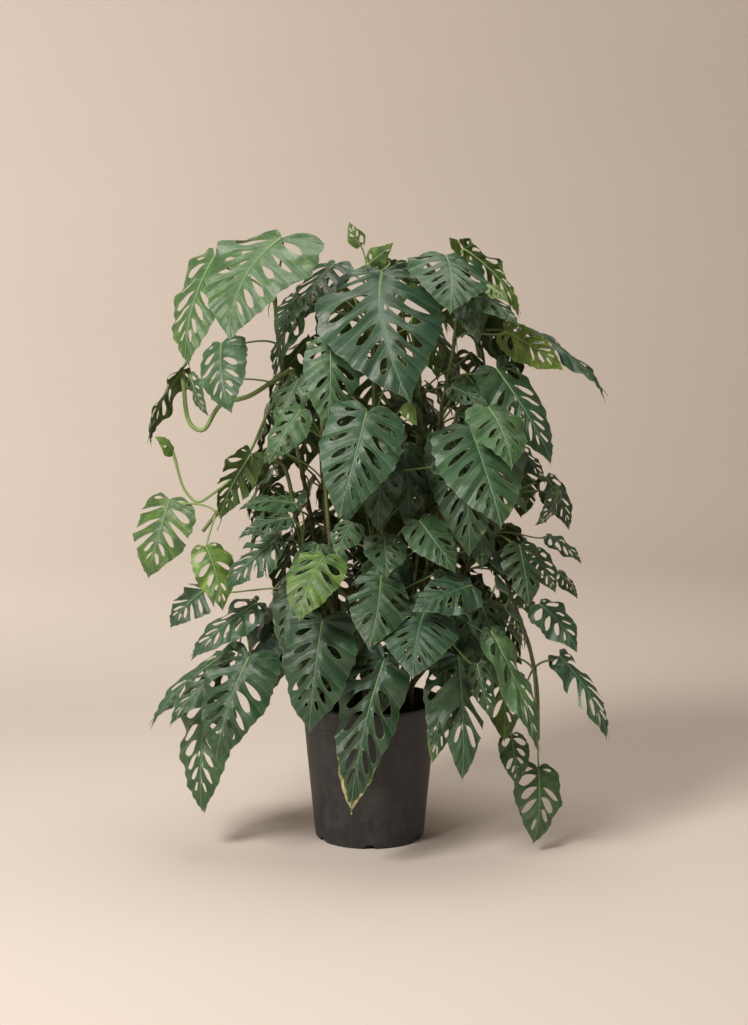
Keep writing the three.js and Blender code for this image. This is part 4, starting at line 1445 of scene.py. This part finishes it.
def crumb_tree(name, material):
    """Lumpy crumbs strewn over the faces that look up."""
    tree, given = new_tree(name, [
        ("Density", "NodeSocketFloat", 1000.0), ("Least size", "NodeSocketFloat", 0.001),
        ("Largest size", "NodeSocketFloat", 0.004), ("Seed", "NodeSocketInt", SEED),
    ])
    normal = output(tree, "GeometryNodeInputNormal")
    upward = output(tree, "ShaderNodeSeparateXYZ", {0: normal}, "Z")
    level = output(tree, "FunctionNodeCompare", {0: upward, 1: 0.5}, operation="GREATER_THAN")
    strewn = output(tree, "GeometryNodeDistributePointsOnFaces", {
        "Mesh": given["Geometry"], "Selection": level, "Density": given["Density"],
        "Seed": given["Seed"],
    }, "Points")
    lump = output(tree, "GeometryNodeMeshIcoSphere", {"Radius": 1.0, "Subdivisions": 1}, "Mesh")
    sizes = [
        output(tree, "FunctionNodeRandomValue", {
            2: given["Least size"], 3: given["Largest size"], "Seed": number,
        }, 1, data_type="FLOAT")
        for number in (1, 2, 3)
    ]
    size = output(tree, "ShaderNodeCombineXYZ", dict(enumerate(sizes)))
    turn = output(tree, "FunctionNodeRandomValue", {
        1: (2 * math.pi,) * 3, "Seed": 4,
    }, data_type="FLOAT_VECTOR")
    crumbs = output(tree, "GeometryNodeInstanceOnPoints", {
        "Points": strewn, "Instance": lump, "Rotation": turn, "Scale": size,
    })
    end_tree(tree, crumbs, material)
    return tree


def soil_shape(turn, radius, height):
    """A lumpy top: low mounds, and finer clods on them."""
    lumps = np.zeros(radius.shape)
    for i, j in np.ndindex(radius.shape):
        x, y = radius[i, j] * math.cos(turn[i, 0]), radius[i, j] * math.sin(turn[i, 0])
        lumps[i, j] = sum(rise * noise.noise(Vector((x / wide, y / wide, layer)))
                          for wide, layer, rise in SOIL_LUMPS)
    return radius, np.where(height > SOIL_TOP - LUMPS_DEPTH, height + lumps, height)


class VINE_OT_pot(bpy.types.Operator):
    """Makes the nursery pot"""

    bl_idname = "vine.pot"
    bl_label = "Make pot"

    def execute(self, context):
        settings = context.scene.vine_pot
        mesh = lathe("nursery_pot", POT_WALL, settings.sides, pot_shape)
        smooth(mesh, 38)
        place("nursery_pot", mesh, pot_material(settings), "pot", "pot")
        return {"FINISHED"}


class VINE_OT_soil(bpy.types.Operator):
    """Makes the soil, its crumbs and its perlite"""

    bl_idname = "vine.soil"
    bl_label = "Make soil"

    def execute(self, context):
        settings = context.scene.vine_pot
        rings = [(radius, SOIL_TOP - SOIL_BULGE * (radius / SOIL_RADIUS) ** 2 - SOIL_LOW)
                 for radius in np.linspace(SOIL_RADIUS, 3, 34)]
        profile = [(0, SOIL_FOOT), (SOIL_FOOT_RADIUS, SOIL_FOOT), *rings,
                   (0, SOIL_TOP - SOIL_LOW)]
        mesh = lathe("potting_soil", profile, 96, soil_shape)
        material, density = soil_material(settings), settings.crumb_density
        for name, finish, crowd, (least, largest) in (
            ("soil_crumbs", material, density, CRUMB_SIZES),
            ("soil_perlite", perlite_material(), density / PERLITE_RARITY, PERLITE_SIZES),
        ):
            crumbs = grown(name, mesh.copy(), crumb_tree(name, finish), {
                "Density": crowd, "Least size": least, "Largest size": largest,
            })
            place(name, crumbs, finish, "soil")
        smooth(mesh, 60)
        place("potting_soil", mesh, material, "soil", "soil")
        return {"FINISHED"}


# Studio

class StageSettings(bpy.types.PropertyGroup):
    """The studio's colours and camera"""

    paper_colour: colour_setting("Paper", "Floor and backdrop", "#dbd1c8")
    focal_length: bpy.props.FloatProperty(
        name="Focal length", description="The camera's focal length in millimetres",
        default=64.27)
    camera_height: length_setting("Camera height", "Height of the camera over the floor", 0.96)
    camera_distance: length_setting("Camera distance", "Level distance from the pot's middle", 3.2)
    camera_pitch: bpy.props.FloatProperty(
        name="Camera pitch", description="How far the camera looks down",
        default=math.radians(6.75), subtype="ANGLE")


# The sweep in metres: a level floor that curves up into a wall all round, and its steps
FLOOR_RINGS = (0.5, 1.5, 2.5)
FLOOR_REACH = 3.4
SWEEP_RADIUS = 3.2
SWEEP_STEPS = 31
SWEEP_SIDES = 128
WALL_HEIGHT = 4.2
CAMERA_ASIDE = 0.008

# Lights: name, place, aim, size, power, spread in degrees, colour
LIGHTS = (
    ("key_light", (-1.9, -2.3, 3.0), (0, 0, 0.6), 1.2, 152, 180, "#fff9f2"),
    ("top_light", (0.2, 0.4, 3.3), (0, 0, 0.6), 2.0, 46, 180, "#fffaf2"),
    ("fill_light", (2.8, -2.6, 1.3), (0, 0, 0.6), 2.6, 6, 180, "#f4f1ff"),
    ("wall_light", (-2.4, 1.4, 3.4), (-1.9, 6.6, 1.6), 3.0, 126, 150, "#fff8f0"),
)
WORLD_COLOUR = "#ecc9a0"
WORLD_STRENGTH = 0.1


def paper_material(settings):
    """Matte background paper: one even colour with a very soft unevenness."""
    paint = Paint("Background paper")
    cloud, paper = paint.noise(0.8, 2.0), Vector(settings.paper_colour)
    paint.shader.inputs["Roughness"].default_value = 0.95
    return paint.finish(paint.ramp(cloud, (0.3, paper * 0.97), (0.7, paper)))


class VINE_OT_stage(bpy.types.Operator):
    """Makes the camera, the lights and the paper sweep"""

    bl_idname = "vine.stage"
    bl_label = "Make studio"

    def execute(self, context):
        settings = context.scene.vine_stage
        scene = context.scene
        camera = bpy.data.objects.new("camera", bpy.data.cameras.new("camera"))
        scene.collection.objects.link(camera)
        camera.data.lens = settings.focal_length
        camera.location = (CAMERA_ASIDE, -settings.camera_distance, settings.camera_height)
        camera.rotation_euler = (math.pi / 2 - settings.camera_pitch, 0, 0)
        scene.camera = camera
        scene.view_settings.view_transform = "Standard"
        self.add_lights(scene)
        bends = np.linspace(0, math.pi / 2, SWEEP_STEPS)
        rings = [(radius, 0.0) for radius in FLOOR_RINGS]
        rings += [(FLOOR_REACH + SWEEP_RADIUS * math.sin(bend),
                   SWEEP_RADIUS * (1 - math.cos(bend))) for bend in bends]
        rings.append((FLOOR_REACH + SWEEP_RADIUS, WALL_HEIGHT))
        turns = np.linspace(0, 2 * math.pi, SWEEP_SIDES, endpoint=False)
        points = [(0, 0, 0)] + [
            (r * math.cos(a), r * math.sin(a), z) for a in turns for r, z in rings
        ]
        faces, count = [], len(rings)
        for i in range(SWEEP_SIDES):
            here, there = 1 + i * count, 1 + (i + 1) % SWEEP_SIDES * count
            faces.append((0, here, there))
            faces += [(here + j, here + j + 1, there + j + 1, there + j)
                      for j in range(count - 1)]
        mesh = bpy.data.meshes.new("paper_sweep")
        mesh.from_pydata(points, [], faces)
        smooth(mesh, 60)
        mesh.materials.append(paper_material(settings))
        sweep = bpy.data.objects.new("paper_sweep", mesh)
        scene.collection.objects.link(sweep)
        return {"FINISHED"}

    def add_lights(self, scene):
        for name, where, aim, size, power, spread, colour in LIGHTS:
            light = bpy.data.lights.new(name, "AREA")
            light.size, light.energy, light.color = size, power, tint(colour)
            light.spread = math.radians(spread)
            lamp = bpy.data.objects.new(name, light)
            lamp.location = where
            aimed = Vector(aim) - Vector(where)
            lamp.rotation_euler = aimed.to_track_quat("-Z", "Y").to_euler()
            lamp.visible_camera = False
            scene.collection.objects.link(lamp)
        world = bpy.data.worlds.new("studio")
        world.use_nodes = True
        sky = world.node_tree.nodes["Background"]
        sky.inputs["Color"].default_value = linear(WORLD_COLOUR)
        sky.inputs["Strength"].default_value = WORLD_STRENGTH
        scene.world = world


# Panel and registration

STEPS = (VINE_OT_stage, VINE_OT_pot, VINE_OT_soil, VINE_OT_stalks, VINE_OT_blades)


class VINE_PT_panel(bpy.types.Panel):
    """Lists the steps that make the plant"""

    bl_idname = "VINE_PT_panel"
    bl_label = "Swiss cheese vine"
    bl_space_type = "VIEW_3D"
    bl_region_type = "UI"
    bl_category = "Vine"

    def draw(self, context):
        for step in STEPS:
            self.layout.operator(step.bl_idname)


SETTINGS = {
    "vine_blades": BladeSettings, "vine_stalks": StalkSettings, "vine_pot": PotSettings,
    "vine_stage": StageSettings,
}


def register():
    for made in (*SETTINGS.values(), *STEPS, VINE_PT_panel):
        bpy.utils.register_class(made)
    for name, made in SETTINGS.items():
        setattr(bpy.types.Scene, name, bpy.props.PointerProperty(type=made))


def unregister():
    for name in SETTINGS:
        delattr(bpy.types.Scene, name)
    for made in (VINE_PT_panel, *reversed(STEPS), *reversed(SETTINGS.values())):
        bpy.utils.unregister_class(made)


def main():
    register()
    add_back_leaves()
    add_inner_leaves()
    bpy.ops.vine.stage()
    bpy.ops.vine.pot()
    bpy.ops.vine.soil()
    bpy.ops.vine.stalks()
    bpy.ops.vine.blades()


if __name__ == "__main__":
    main()
